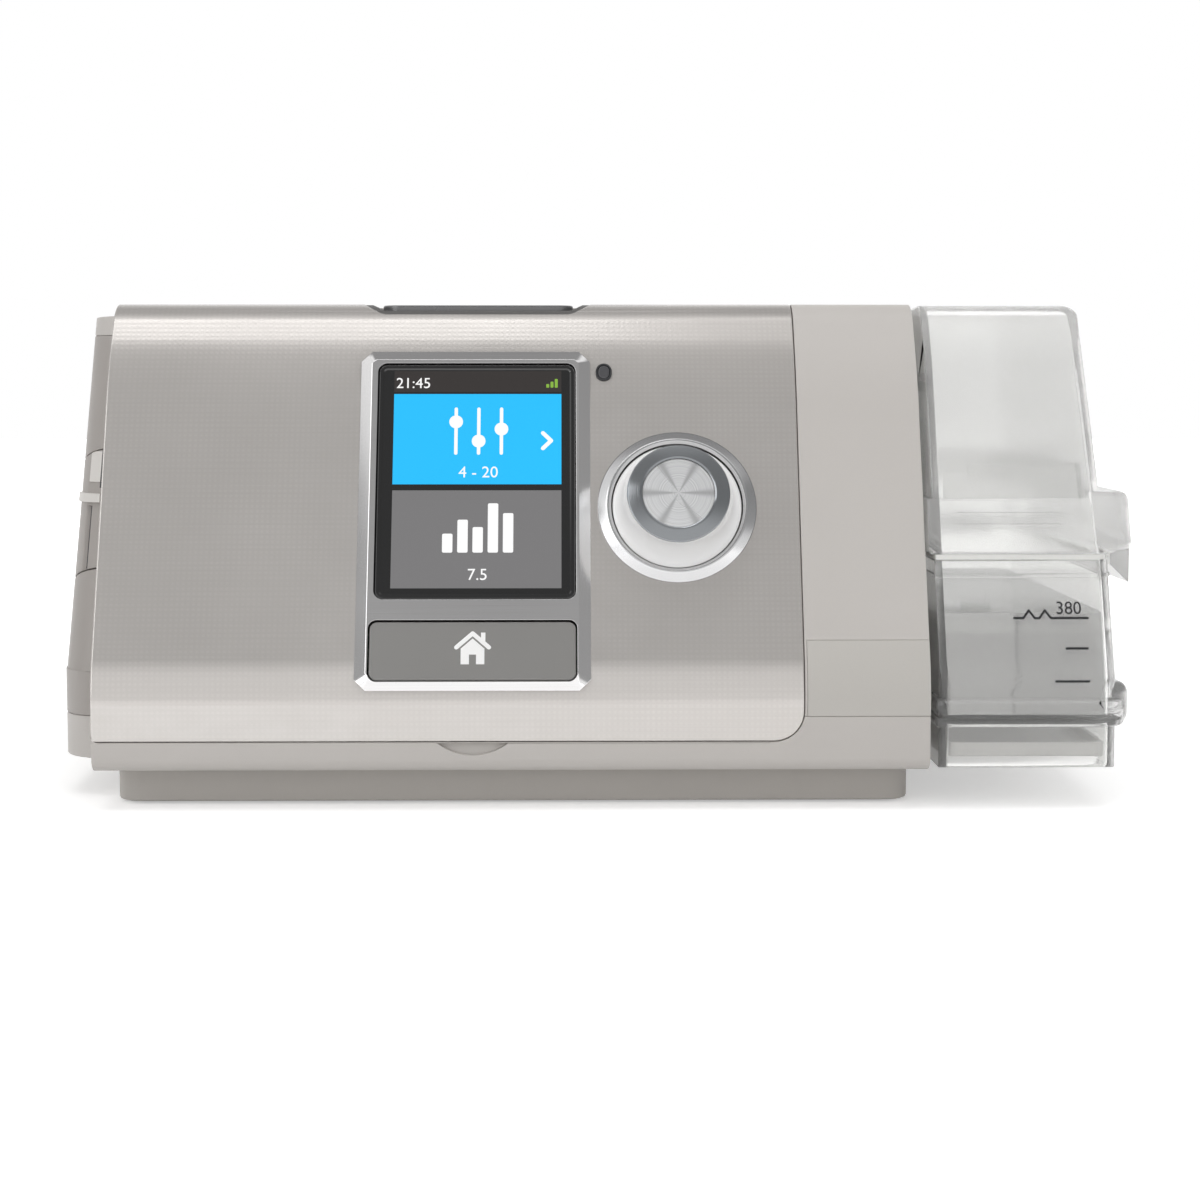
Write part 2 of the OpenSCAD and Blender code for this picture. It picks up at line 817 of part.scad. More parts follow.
module encoder_body() {
    color("#3a3d42") on_face(dial_x, dial_z) difference() {
        union() {
            plate(13, 13, 1, -display_d, -skin);
            translate([0, 0, -skin - 0.1]) cylinder(h = wall - 0.4 + 0.1, r = bush_r);
        }
        translate([0, 0, -display_d + 0.8]) cylinder(h = display_d - skin - 2, r = plunger_r + pin_play);
        translate([0, 0, -display_d + 0.8]) cylinder(h = display_d, r = dial_shaft_r + pin_play);
    }
}

plunger_z = -display_d + 0.8 + dial_travel + 0.4;
plunger_t = 1.8;
module encoder_plunger() {
    color("#d8d8d8") on_face(dial_x, dial_z) translate([0, 0, plunger_z])
        tube(plunger_t, plunger_r, dial_shaft_r + pin_play);
}

shaft_top = knob_h - 2.4;
module encoder_shaft() {
    color("#b8bcc0") on_face(dial_x, dial_z) post([0, 0], plunger_z, shaft_top, dial_shaft_r);
}

knob_foot = -1;
knob_rim = 1.6;
// Concave flare of the knob from its foot to its top
function knob_flare() = let (drop = knob_h - 1.8, run = knob_r - knob_top_r)
    [for (i = [0 : 8]) let (a = 90 * i / 8) [knob_r - run * sin(a), 0.6 + drop * (1 - cos(a))]];

module dial_knob() {
    color("#d9dadc") on_face(dial_x, dial_z) rotate_extrude() polygon(concat(
        [[dial_shaft_r, knob_foot + 2], [knob_r - knob_rim, knob_foot + 2]],
        [[knob_r - knob_rim, knob_foot], [knob_r, knob_foot]],
        knob_flare(),
        [[knob_top_r, knob_h - 1], [dial_shaft_r, knob_h - 1]]
    ));
}

module dial_crown() {
    color("#8f969e") on_face(dial_x, dial_z) rotate_extrude() polygon([
        [disc_r, knob_h - 1], [knob_top_r, knob_h - 1], [knob_top_r - 0.1, knob_h - 0.5],
        [knob_top_r - 0.9, knob_h], [disc_r + 0.5, knob_h], [disc_r, knob_h - 0.4]
    ]);
}

module dial_disc() {
    color("#b6b8bb") on_face(dial_x, dial_z) translate([0, 0, knob_h - 1]) cylinder(h = 0.6, r = disc_r);
}

// Main board on four posts, with a chip and a connector; blower posts and screw bosses pass through it
chip = [16, 12, 2.4];
socket = [16, 12, 3.4];
module main_board() {
    color("#1f5a38") difference() {
        union() {
            block([board_x[0], board_y[0], board_z], [board_x[1], board_y[1], board_z + board_t]);
            translate([board_x[0] + 60, board_y[0] + 12.45, board_z + board_t - 0.01]) cube(chip);
            translate([board_x[0] + 6, board_y[1] - 36, board_z + board_t - 0.01]) cube(socket);
        }
        for (p = mount_points) post(p, 0, post_z, post_r + 1);
        for (p = screw_points) post(p, 0, post_z, boss_r + 1);
        for (p = board_posts) post(p, 0, post_z, post_hole_r);
    }
}

// Power socket: a housing behind the recess with three pins in a blind hole
socket_l = 14;
socket_wall = 2.5;
socket_depth = 10;
contact_r = 0.8;
contact_l = 6;
contact_pitch = 3;
contact_z = -recess_d - socket_depth;
module power_inlet() {
    color("#2b2b2d") {
        on_rear(inlet_x, inlet_z) difference() {
            plate(inlet_w, inlet_h, 1.5, -recess_d - socket_l, -recess_d);
            plate(inlet_w - 2 * socket_wall, inlet_h - 2 * socket_wall, 1, -recess_d - socket_depth, 0);
        }
        on_rear(inlet_x, inlet_z) for (side = [-1, 0, 1])
            post([side * contact_pitch, 0], contact_z - 0.2, contact_z + contact_l, contact_r);
    }
}

// Bail that swings down behind the plug: two arms, a bar between their ends and two pins in the recess walls
clip_pin_r = 1.2;
clip_drop = 15;
clip_t = 3;
clip_bar = 2.5;
clip_eye_r = 1.9;
clip_pin_end = 0.6;
module plug_clip() {
    color("#3c3c3e") translate([inlet_x, y_b - clip_y, inlet_z + clip_z]) {
        for (side = [-1, 1]) {
            translate([side * (clip_w - clip_arm) / 2, 0, 0]) {
                translate([-clip_arm / 2, -clip_t / 2, -clip_drop]) cube([clip_arm, clip_t, clip_drop]);
                rotate([0, 90, 0]) cylinder(h = clip_arm, r = clip_eye_r, center = true);
            }
            rotate([0, side * 90, 0]) translate([0, 0, clip_w / 2 - 0.1])
                cylinder(h = (recess_w - clip_w) / 2 + wall - clip_pin_end, r = clip_pin_r);
        }
        translate([-clip_w / 2, -clip_t / 2, -clip_drop]) cube([clip_w, clip_t, clip_bar]);
    }
}

// Blower: a round housing in two halves with a duct, a motor under it and an impeller in it
BLOWER = [blower_x, blower_y];
volute_z = [54, 82];
volute_wall = 2.4;
duct_half = 12;
volute_end_x = blower_x + blower_r + 1;

intake_r = 14;
hub_r = 8;
hub_h = 6;
lug_r = 6;
lug_w = 8;
lug_t = 3;
module volute_outer() {
    post(BLOWER, volute_z[0], volute_z[1], blower_r);
    translate([blower_x, port_y[0] - duct_half, port_z - duct_half])
        cube([volute_end_x - blower_x, 2 * duct_half, 2 * duct_half]);
}
module volute_inner() {
    post(BLOWER, volute_z[0] + volute_wall, volute_z[1] - volute_wall, blower_r - volute_wall);
    rod_x([blower_x, port_y[0], port_z], duct_r, blower_r + 4);
    // Air intake in the roof and passage for the upper bearing in the floor
    post(BLOWER, volute_z[1] - volute_wall - eps, volute_z[1] + eps, intake_r);
    post(BLOWER, volute_z[0] - hub_h - eps, volute_z[0] + volute_wall + eps, bearing_r);
}

// Direction of a lug, seen from the blower axis
function lug_turn(p) = atan2(p.y - blower_y, p.x - blower_x);

module blower_lower() {
    color("#54565a") difference() {
        union() {
            intersection() {
                volute_outer();
                block([-200, -100, 0], [100, 100, port_z]);
            }
            for (p = mount_points) {
                post(p, volute_z[0], volute_z[0] + lug_t, lug_r);
                translate([blower_x, blower_y, volute_z[0]]) rotate([0, 0, lug_turn(p)])
                    translate([0, -lug_w / 2, play]) cube([mount_ring, lug_w, lug_t - 2 * play]);
            }
            post(BLOWER, volute_z[0] - hub_h, volute_z[0] + 1, hub_r);
        }
        volute_inner();
    }
}

module blower_upper() {
    color("#5d5f64") difference() {
        intersection() {
            volute_outer();
            block([-200, -100, port_z], [100, 100, 200]);
        }
        volute_inner();
    }
}

// Soft mounts between the posts and the lugs
soft_mount_r = 4.5;
module blower_mounts() {
    color("#c9765a") for (p = mount_points) post(p, post_z, volute_z[0], soft_mount_r);
}

// Motor in a can under the blower: windings round a magnet, with a bearing at each end of the shaft
can_r = 24;
can_t = 1.6;
can_z = 26;
bearing_r = 5;
bearing_t = 4;
bearing_seat_r = 7.5;
motor_shaft_r = 2;
magnet_r = 13.6;
magnet_h = 13;
rotor_gap = 0.7;
stator_z = can_z + can_t + bearing_t + eps;
stator_h = magnet_h + 1;
shaft_z = [can_z + can_t + play, volute_z[0] + volute_wall + 9.5];
module motor_can() {
    color("#8b9096") translate([blower_x, blower_y, can_z]) difference() {
        union() {
            tube(volute_z[0] - can_z, can_r, can_r - can_t);
            cylinder(h = can_t, r = can_r);
            cylinder(h = can_t + bearing_t, r = bearing_seat_r);
        }
        translate([0, 0, can_t]) cylinder(h = bearing_t + 1, r = bearing_r);
    }
}

module motor_stator() {
    color("#7a4a2a") translate([blower_x, blower_y, stator_z])
        tube(stator_h, can_r - can_t, magnet_r + rotor_gap);
}

module motor_bearings() {
    color("#c7cbd0") translate([blower_x, blower_y, 0]) for (z = [can_z + can_t, volute_z[0] - bearing_t])
        translate([0, 0, z]) tube(bearing_t, bearing_r, motor_shaft_r + pin_play);
}

module motor_shaft() {
    color("#d4d7da") post(BLOWER, shaft_z[0], shaft_z[1], motor_shaft_r);
}

module rotor_magnet() {
    color("#44484d") translate([blower_x, blower_y, stator_z + eps]) tube(magnet_h, magnet_r, motor_shaft_r);
}

// Impeller: a back plate with a hub and swept blades
blades = 9;
blade_t = 1.2;
blade_h = 12;
blade_sweep = 18;
impeller_plate = 1.2;
impeller_gap = 1.2;
impeller_hub_r = 7;
impeller_hub_h = 8;
module impeller() {
    color("#e3e2df") translate([blower_x, blower_y, volute_z[0] + volute_wall + impeller_gap]) difference() {
        union() {
            cylinder(h = impeller_plate, r = impeller_r);
            cylinder(h = impeller_hub_h, r = impeller_hub_r);
            for (i = [0 : blades - 1]) rotate([0, 0, 360 * i / blades])
                translate([impeller_hub_r - 1, -blade_t / 2, impeller_plate / 2])
                    rotate([0, 0, blade_sweep]) cube([impeller_r - impeller_hub_r - 2, blade_t, blade_h]);
        }
        translate([0, 0, -eps]) cylinder(h = impeller_hub_h + 2 * eps, r = motor_shaft_r);
    }
}

// Foam silencer between the filter and the blower, with a channel to the intake
muffler_top = case_h - 12;
channel_w = 26;
channel_z = [4, 13];
module inlet_muffler() {
    color("#3f4246") difference() {
        block([x_fl + 8, blower_y - 20, volute_z[1]], [blower_x + intake_r, y_split, muffler_top]);
        post(BLOWER, volute_z[1] - eps, volute_z[1] + channel_z[1], intake_r);
        translate([blower_x - channel_w, blower_y, volute_z[1] + channel_z[0]])
            cube([channel_w, y_split - blower_y + 1, channel_z[1] - channel_z[0]]);
    }
}

// Filter pad on the ledge of its chamber, behind a door with slots
filter_ledge = 4;
filter_depth = [9.5, 3.2];
module air_filter() {
    color("#f1f0ea") on_rear(filter_x, filter_z)
        plate(filter_w - filter_ledge, filter_h - filter_ledge, 2, -filter_depth[0], -filter_depth[1]);
}

slots = 7;
slot_pitch = 5;
slot_h = 2.2;
slot_margin = 16;
module filter_door() {
    color("#c2bdb8") on_rear(filter_x, filter_z) difference() {
        union() {
            plate(filter_w, filter_h, 2, -door_t, 0);
            translate([-filter_w / 2, 0, 0]) door_knuckle(filter_h);
        }
        for (i = [0 : slots - 1]) translate([knuckle_r * 2, (i - (slots - 1) / 2) * slot_pitch, -door_t - 1])
            linear_extrude(door_t + 2) polygon(box_points(filter_w - slot_margin, slot_h, slot_h / 2 - 0.05));
    }
}

duct_wall = 2;
module blower_duct() {
    color("#6b6e73") translate([volute_end_x, port_y[0], port_z]) rotate([0, 90, 0])
        tube(bay_x - volute_end_x, duct_r + duct_wall, duct_r);
}

// Flow sensor, saddled on the duct
sensor_box = [14, 14, 12];
sensor_box_x = (volute_end_x + bay_x - sensor_box.x) / 2;
module flow_sensor() {
    color("#2e5f86") difference() {
        translate([sensor_box_x, port_y[0] - sensor_box.y / 2, port_z + duct_r - 4]) cube(sensor_box);
        rod_x([volute_end_x, port_y[0], port_z], duct_r + duct_wall, bay_x - volute_end_x);
    }
}

// Elbow from the bay to the rear: its stub stands in the alcove and takes the hose
elbow_turn = 16;
elbow_r = outlet_r - 0.6;
bend_y = port_y[1] + elbow_turn;
stub_sink = 2;
module outlet_elbow() {
    color("#e6e4e0") difference() {
        union() {
            rod_x([outlet_x + elbow_turn, port_y[1], port_z], elbow_r, bay_x - outlet_x - elbow_turn);
            rod_y([outlet_x, bend_y, port_z], elbow_r, alcove_y - bend_y + eps);
            rod_y([outlet_x, alcove_y, port_z], outlet_r, alcove_d - stub_sink);
            elbow_arc(elbow_r);
        }
        rod_x([outlet_x + elbow_turn, port_y[1], port_z], outlet_bore_r, 40);
        rod_y([outlet_x, bend_y, port_z], outlet_bore_r, y_b - bend_y);
        elbow_arc(outlet_bore_r);
    }
}
module elbow_arc(r) {
    translate([outlet_x + elbow_turn, port_y[1] + elbow_turn, port_z]) rotate([0, 0, 180])
        rotate_extrude(angle = 90) translate([elbow_turn, 0]) circle(r = r);
}

module tub_bay() {
    color("#9b9793") difference() {
        block([bay_x, bay_y[0], bay_z[0]], [x_case, bay_y[1], bay_z[1]]);
        block([bay_x + bay_wall, bay_y[0] + bay_wall, bay_z[0] + bay_wall],
            [x_case + 1, bay_y[1] - bay_wall, bay_z[1] - bay_wall]);
        rod_x([bay_x - 1, port_y[0], port_z], duct_r, 5);
        rod_x([bay_x - 1, port_y[1], port_z], outlet_bore_r, 5);
    }
}

tub_x = bay_x + 5;
module bay_seals() {
    color("#8a8f94") for (y = port_y) translate([seal_x, y, port_z]) rotate([0, 90, 0])
        tube(tub_x - seal_x - play, duct_r + 3, duct_r);
}

heater_x = [tub_x + 7, x_case - 6.5];
heater_y = [bay_y[0] + 10, bay_y[1] - 10];
heater_t = 2.1;
heater_z = bay_z[0] + bay_wall;
module heater_plate() {
    color("#a9adb2") translate([heater_x[0], heater_y[0], heater_z])
        cube([heater_x[1] - heater_x[0], heater_y[1] - heater_y[0], heater_t]);
}

// Tub: the part in the bay is a box, the part outside follows the profile of the case
tub_y = [bay_y[0] + bay_wall + tub_play, bay_y[1] - bay_wall - tub_play];
tub_z = [heater_z + heater_t + tub_play - 0.1, bay_z[1] - bay_wall - tub_play];
tub_back = y_b - 9;
tub_inset = 1;
seal_t = 1.2;

module tub_outside(d, grow = 0) {
    intersection() {
        slab(x_tub0 + d, x_tub1 - d + grow, profile(d + tub_inset));
        translate([0, 0, -1]) linear_extrude(case_h + 2) polygon(rounded([
            [x_tub0 + d, y_f + d], [x_tub1 - d + grow, y_f + d],
            [x_tub1 - d + grow, tub_back - d], [x_tub0 + d, tub_back - d]
        ], [2, tub_r - d + grow, tub_r - d + grow, 2]));
    }
}

module tub_form(d) {
    block([tub_x + d, tub_y[0] + d, tub_z[0] + d], [x_tub0 + 2 * tub_wall, tub_y[1] - d, tub_z[1] - d]);
    tub_outside(d);
}

tub_floor_z = 21.5;
module tub_hollow() {
    difference() {
        tub_form(tub_wall);
        block([x_tub0 + tub_wall, y_f, 0], [x_tub1 + 1, y_b, tub_floor_z]);
    }
}

// Band round the outside, between two heights
module tub_band(z0, z1, out, d = 0) {
    intersection() {
        tub_outside(d - tub_inset, out);
        block([x_tub0, y_f - 5, z0], [x_tub1 + 10, y_b, z1]);
    }
}

module tub_base() {
    color("#d5dade", 0.5) difference() {
        union() {
            intersection() {
                union() {
                    tub_form(0);
                    tub_band(20.5, 27.5, 2);
                }
                block([tub_x - 1, y_f - 5, 0], [x_tub1 + 10, y_b, tub_split_z - seal_t / 2]);
            }
            hinge_knuckle(hinge_x[1], hinge_x[2], -1);
        }
        tub_hollow();
        block([heater_x[0], heater_y[0], 0], [heater_x[1], heater_y[1], tub_z[0] + 1.5]);
        hinge_hole();
    }
}

module tub_lid() {
    color("#e4e8ea", 0.5) difference() {
        union() {
            intersection() {
                union() {
                    tub_form(0);
                    tub_band(tub_split_z, 71, 2);
                    lid_lip();
                }
                block([tub_x - 1, y_f - 5, tub_split_z + seal_t / 2], [x_tub1 + 10, y_b, case_h + 5]);
            }
            lid_hook();
            hinge_knuckle(hinge_x[0], hinge_x[1], 1);
            hinge_knuckle(hinge_x[2], hinge_x[3], 1);
        }
        tub_hollow();
        for (y = port_y) rod_x([tub_x - 1, y, port_z], duct_r, 5);
        hinge_hole();
    }
}

module lid_lip() {
    block([x_tub1 - 1, y_f + 22, tub_split_z], [x_tub1 + lip_out, tub_back - 18, 71]);
}
module lid_hook() {
    block([x_tub1 + 1.5, -30, tub_split_z - 7], [x_tub1 + lip_out - 1.5, 30, tub_split_z + 2]);
}

hinge_r = 2.8;
hinge_pin_r = 1.2;
hinge_x = [for (d = [3.5, 11.5, 27.5, 35.5]) x_tub0 + d];
hinge_y = tub_back + tub_inset + hinge_r + 0.2;
// Knuckle of the tub hinge between two places, with its tab above the seam (side 1) or below it (side -1)
module hinge_knuckle(x0, x1, side) {
    rod_x([x0 + 0.1, hinge_y, tub_split_z], hinge_r, x1 - x0 - 0.2);
    translate([x0 + 0.1, tub_back - 2, tub_split_z + (side > 0 ? seal_t / 2 : -hinge_r)])
        cube([x1 - x0 - 0.2, hinge_y - tub_back + 2, hinge_r - seal_t / 2]);
}
module hinge_hole() {
    rod_x([x_tub0 - eps, hinge_y, tub_split_z], hinge_pin_r, tub_out + 7 * eps);
}

module tub_seal() {
    color("#f0f0ee") difference() {
        intersection() {
            tub_form(0.4);
            block([tub_x, y_f, tub_split_z - seal_t / 2], [x_tub1, y_b, tub_split_z + seal_t / 2]);
        }
        tub_form(tub_wall - 0.2);
    }
}

module tub_heat_plate() {
    color("#b4b8bc") block([heater_x[0], heater_y[0], tub_z[0]], [heater_x[1], heater_y[1], tub_z[0] + 1.5]);
}

module tub_hinge_pin() {
    color("#c9ccd0") rod_x(
        [hinge_x[0] + 0.4, hinge_y, tub_split_z], hinge_pin_r, hinge_x[3] - hinge_x[0] - 0.8);
}

module card_door() {
    color("#a7a29d") union() {
        intersection() {
            end_skin();
            card_room_front(0, 0);
        }
        on_side(card_s, card_h) door_knuckle(card_l);
    }
}

reader_s = 6;
reader_t = 5;
reader_l = card_l - 2;
reader_depth = [case_d / 2 - 41, 7];
card_slot_t = 2.6;
card_slot_l = 24.6;
module card_reader() {
    color("#34373b") on_side(reader_s, card_h) difference() {
        translate([-reader_t / 2, -reader_l / 2, -reader_depth[0]])
            cube([reader_t, reader_l, reader_depth[0] - reader_depth[1]]);
        translate([-card_slot_t / 2, -card_slot_l / 2, 2 - reader_depth[0]])
            cube([card_slot_t, card_slot_l, reader_depth[0]]);
    }
}

module adapter_door() {
    color("#a7a29d") union() {
        intersection() {
            end_skin();
            adapter_room(0, 0);
        }
        on_side(adapter_s, adapter_h) door_knuckle(adapter_l);
    }
}

adapter_in = 6;
adapter_box = [22, 16, 12];
adapter_hole = [16, 10, 10];
adapter_flange = 1.6;
module adapter_port() {
    color("#2b2d31") on_side(adapter_s, adapter_h) difference() {
        union() {
            translate([adapter_in, -adapter_box.y / 2, -adapter_box.z])
                cube([adapter_box.x, adapter_box.y, adapter_box.z - wall]);
            translate([adapter_in - 2, -adapter_l / 2 - 4, -wall - adapter_flange])
                cube([adapter_w, adapter_l + 8, adapter_flange]);
        }
        translate([adapter_in + 3, -adapter_hole.y / 2, -adapter_hole.z])
            cube([adapter_hole.x, adapter_hole.y, adapter_hole.z + 2]);
    }
}

foot_proud = 0.6;
foot_t = 2;
plinth_l = x_fl + 3.6;
plinth_r = x_case - 3.4;
plinth_f = y_f + 10;
plinth_b = y_b - 6;
foot_points = [for (x = [plinth_l + 14, plinth_r - 14], y = [plinth_f + 13, plinth_b - 13]) [x, y]];
screw_sink = 3.2;

plinth_corner = 6;
function plinth_plan(d) = rounded([
    [plinth_l + d, plinth_f + d], [plinth_r - d, plinth_f + d],
    [plinth_r - d, plinth_b - d], [plinth_l + d, plinth_b - d]
], [for (i = [0 : 3]) plinth_corner - d]);

module base_plinth() {
    color("#8f8a85") difference() {
        union() {
            difference() {
                translate([0, 0, foot_proud]) linear_extrude(plinth_h - foot_proud) polygon(plinth_plan(0));
                translate([0, 0, foot_proud + wall]) linear_extrude(plinth_h) polygon(plinth_plan(wall));
            }
            for (p = screw_points) post(p, foot_proud, plinth_h, screw_head_r + wall);
        }
        for (p = foot_points) post(p, -1, foot_t, foot_r);
        for (p = screw_points) {
            post(p, -1, plinth_h + 1, screw_r);
            post(p, -1, screw_sink, screw_head_r);
        }
    }
}

module rubber_feet() {
    color("#3b3a39") for (p = foot_points) post(p, 0, foot_t, foot_r);
}

module case_screws() {
    color("#c4c8cc") for (p = screw_points) {
        post(p, screw_sink - screw_head_t, screw_sink, screw_head_r);
        post(p, screw_sink - 0.1, floor_z + boss_h - 2.5, screw_r);
    }
}

base_plinth();
lower_housing();
upper_housing();
rear_housing();
side_panel();
fascia();
label_plate();
screen_frame();
screen_lens();
lcd_module();
display_board();
light_sensor();
home_button();
home_switch();
start_button();
start_switch();
button_board();
dial_ring();
encoder_body();
encoder_plunger();
encoder_shaft();
dial_knob();
dial_crown();
dial_disc();
main_board();
power_inlet();
plug_clip();
blower_lower();
blower_upper();
blower_mounts();
motor_can();
motor_stator();
motor_bearings();
motor_shaft();
rotor_magnet();
impeller();
inlet_muffler();
air_filter();
filter_door();
flow_sensor();
blower_duct();
outlet_elbow();
tub_bay();
bay_seals();
heater_plate();
tub_base();
tub_lid();
tub_seal();
tub_heat_plate();
tub_hinge_pin();
card_door();
card_reader();
adapter_door();
adapter_port();
rubber_feet();
case_screws();
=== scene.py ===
# %% [markdown]
# # A bedside breathing machine, dressed part by part
# The construction gives every shell, button and motor part at its real size. This lesson gives them their
# looks: it shapes the visible pieces again with soft edges, and mixes a finish for each material.
# Everything is in metres, in the frame of the construction, with the front facing -Y and Z up.

# %% Load the construction
import math

import bmesh
import bpy
from mathutils import Matrix, Vector
from mathutils.bvhtree import BVHTree
from mathutils.geometry import intersect_line_line_2d, intersect_point_line


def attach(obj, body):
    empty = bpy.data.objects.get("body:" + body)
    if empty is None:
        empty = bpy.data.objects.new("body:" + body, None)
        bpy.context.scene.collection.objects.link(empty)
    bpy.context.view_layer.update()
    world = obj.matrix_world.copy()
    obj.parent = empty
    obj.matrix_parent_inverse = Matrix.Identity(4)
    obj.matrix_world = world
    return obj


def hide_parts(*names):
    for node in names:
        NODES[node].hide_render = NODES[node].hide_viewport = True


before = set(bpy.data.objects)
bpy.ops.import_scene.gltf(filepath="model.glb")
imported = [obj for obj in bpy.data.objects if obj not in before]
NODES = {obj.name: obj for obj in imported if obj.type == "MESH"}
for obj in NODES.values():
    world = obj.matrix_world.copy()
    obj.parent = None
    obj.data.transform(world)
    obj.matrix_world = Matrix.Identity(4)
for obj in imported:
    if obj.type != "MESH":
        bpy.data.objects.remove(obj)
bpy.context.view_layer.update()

# %% [markdown]
# ## Sizes that the visible shells share
# The face of the machine stands upright up to a knee, leans back to a shoulder, and turns over a brow
# into the top. The fascia, the column and the water tub all follow this one profile, so its corners are
# written down once, in millimetres.

# %% Shared sizes
MM = 0.001
FRONT, BACK, FOOT = -73.45, 75.0, 9.0
KNEE = (FRONT, 29.5)
SHOULDER = (FRONT + 29.2, 100.0)
BROW = (FRONT + 40.8, 116.0)
REAR_TOP = (BACK, 112.3)
FASCIA_LEFT, FASCIA_RIGHT, FASCIA_T = -112.4, 49.8, 2.4
TUB_LEFT, TUB_SIDE, TUB_BACK = 80.5, 121.6, 66.0
LEAN = math.atan2(SHOULDER[0] - KNEE[0], SHOULDER[1] - KNEE[1])
TOP_SLOPE = math.atan2(BROW[1] - REAR_TOP[1], REAR_TOP[0] - BROW[0])
print("the face leans back", round(math.degrees(LEAN), 2), "degrees")

# %% [markdown]
# ## Helpers: a bench and its tools
# Every new piece starts as a block or a turned outline and is then cut, rounded and carved in edit mode,
# as a model maker works on a lump of material. An operator works on whatever is selected, so each helper
# first puts everything else aside.

# %% Taking one piece in hand
def put_down():
    if bpy.context.object and bpy.context.object.mode != "OBJECT":
        bpy.ops.object.mode_set(mode="OBJECT")
    bpy.ops.object.select_all(action="DESELECT")


def take(piece):
    put_down()
    piece.select_set(True)
    bpy.context.view_layer.objects.active = piece
    return piece


def settle():
    """Writes the place, turn and scale of the piece in hand into its mesh."""
    bpy.ops.object.transform_apply(location=True, rotation=True, scale=True)


def moved(piece, matrix):
    """Moves a piece by a matrix and writes the move into its mesh."""
    take(piece).matrix_world = matrix
    settle()
    return piece


def leave_edit():
    bpy.ops.object.mode_set(mode="OBJECT")


def pick(piece, kind, test):
    """Selects the faces, edges or verts of a piece that pass a test, and stays in edit mode."""
    take(piece)
    bpy.ops.object.mode_set(mode="EDIT")
    bpy.ops.mesh.select_mode(type={"faces": "FACE", "edges": "EDGE", "verts": "VERT"}[kind])
    bpy.ops.mesh.select_all(action="DESELECT")
    shape = bmesh.from_edit_mesh(piece.data)
    chosen = [part for part in getattr(shape, kind) if test(part)]
    for part in chosen:
        part.select_set(True)
    shape.select_flush_mode()
    bmesh.update_edit_mesh(piece.data)


def middle(part):
    """The middle of a face or an edge, in millimetres."""
    total = Vector((0, 0, 0))
    for v in part.verts:
        total += v.co
    return total / len(part.verts) / MM


# %% Lumps of material: a block, a turned outline and a rod
def block(name, low, high):
    put_down()
    low, high = Vector(low) * MM, Vector(high) * MM
    bpy.ops.mesh.primitive_cube_add(size=1, location=(low + high) / 2, scale=high - low)
    piece = bpy.context.object
    piece.name = piece.data.name = name
    settle()
    return piece


def turned(name, outline, steps=128):
    """A piece turned on a lathe: the outline is a list of (radius, height)."""
    put_down()
    bpy.ops.mesh.primitive_plane_add(size=MM)
    piece = bpy.context.object
    piece.name = piece.data.name = name
    bpy.ops.object.mode_set(mode="EDIT")
    bpy.ops.mesh.select_mode(type="VERT")
    bpy.ops.mesh.select_all(action="SELECT")
    bpy.ops.mesh.merge(type="CENTER")
    here = Vector((0, 0, 0))
    for r, z in outline:
        there = Vector((r, 0, z)) * MM
        if here == Vector((0, 0, 0)) and (r, z) == tuple(outline[0]):
            bpy.ops.transform.translate(value=there)
        else:
            bpy.ops.mesh.extrude_region_move(TRANSFORM_OT_translate={"value": there - here})
        here = there
    bpy.ops.mesh.select_all(action="SELECT")
    bpy.ops.mesh.spin(steps=steps, angle=2 * math.pi, center=(0, 0, 0), axis=(0, 0, 1))
    bpy.ops.mesh.select_all(action="SELECT")
    bpy.ops.mesh.remove_doubles(threshold=0.002 * MM)
    bpy.ops.mesh.normals_make_consistent(inside=False)
    leave_edit()
    return piece


def rod(radius, length, place, turn=(0, 0, 0), vertices=48):
    """A round rod about Z, or turned; its place is in metres."""
    put_down()
    bpy.ops.mesh.primitive_cylinder_add(
        vertices=vertices, radius=radius * MM, depth=length * MM, location=place, rotation=turn)
    piece = bpy.context.object
    settle()
    return piece


# %% Cutting, rounding and carving
def rework(piece, kind, test, operator, **settings):
    """Runs an operator in edit mode on the parts of a piece that pass a test."""
    pick(piece, kind, test)
    operator(**settings)
    leave_edit()


def push(piece, kind, test, way):
    """Moves the parts of a piece that pass a test, in millimetres."""
    rework(piece, kind, test, bpy.ops.transform.translate, value=Vector(way) * MM)


def slice_off(piece, point, normal):
    """Saws a piece along a plane and throws away the side that the normal points to."""
    rework(
        piece, "verts", lambda v: True, bpy.ops.mesh.bisect, plane_co=Vector(point) * MM, plane_no=normal,
        use_fill=True, clear_outer=True)


def round_edges(piece, test, radius, segments=6, turn=90.0):
    """Rounds the edges that pass a test; turn is the angle that the surface turns through there."""
    offset = radius * math.tan(math.radians(turn) / 2) * MM
    rework(
        piece, "edges", test, bpy.ops.mesh.bevel, offset_type="OFFSET", offset=offset, segments=segments,
        affect="EDGES")


def combine(piece, other, how="DIFFERENCE", solver="EXACT"):
    take(piece)
    step = piece.modifiers.new("combine", "BOOLEAN")
    step.operation, step.object, step.solver = how, other, solver
    bpy.ops.object.modifier_apply(modifier=step.name)
    bpy.data.objects.remove(other)
    return piece


# %% [markdown]
# A bevel that is wider than its strip of material folds over, and then the light shows a crack. So each
# piece is measured after its edges are broken, and the places that fold get a narrower bevel.

# %% Breaking edges
# A point that flew off counts as FLOWN_COST mm2 of folded area. A fold, or such a point, changes the
# edges that are less than NEAR_FOLD widths away.
FLOWN_COST, NEAR_FOLD = 0.2, 2.5


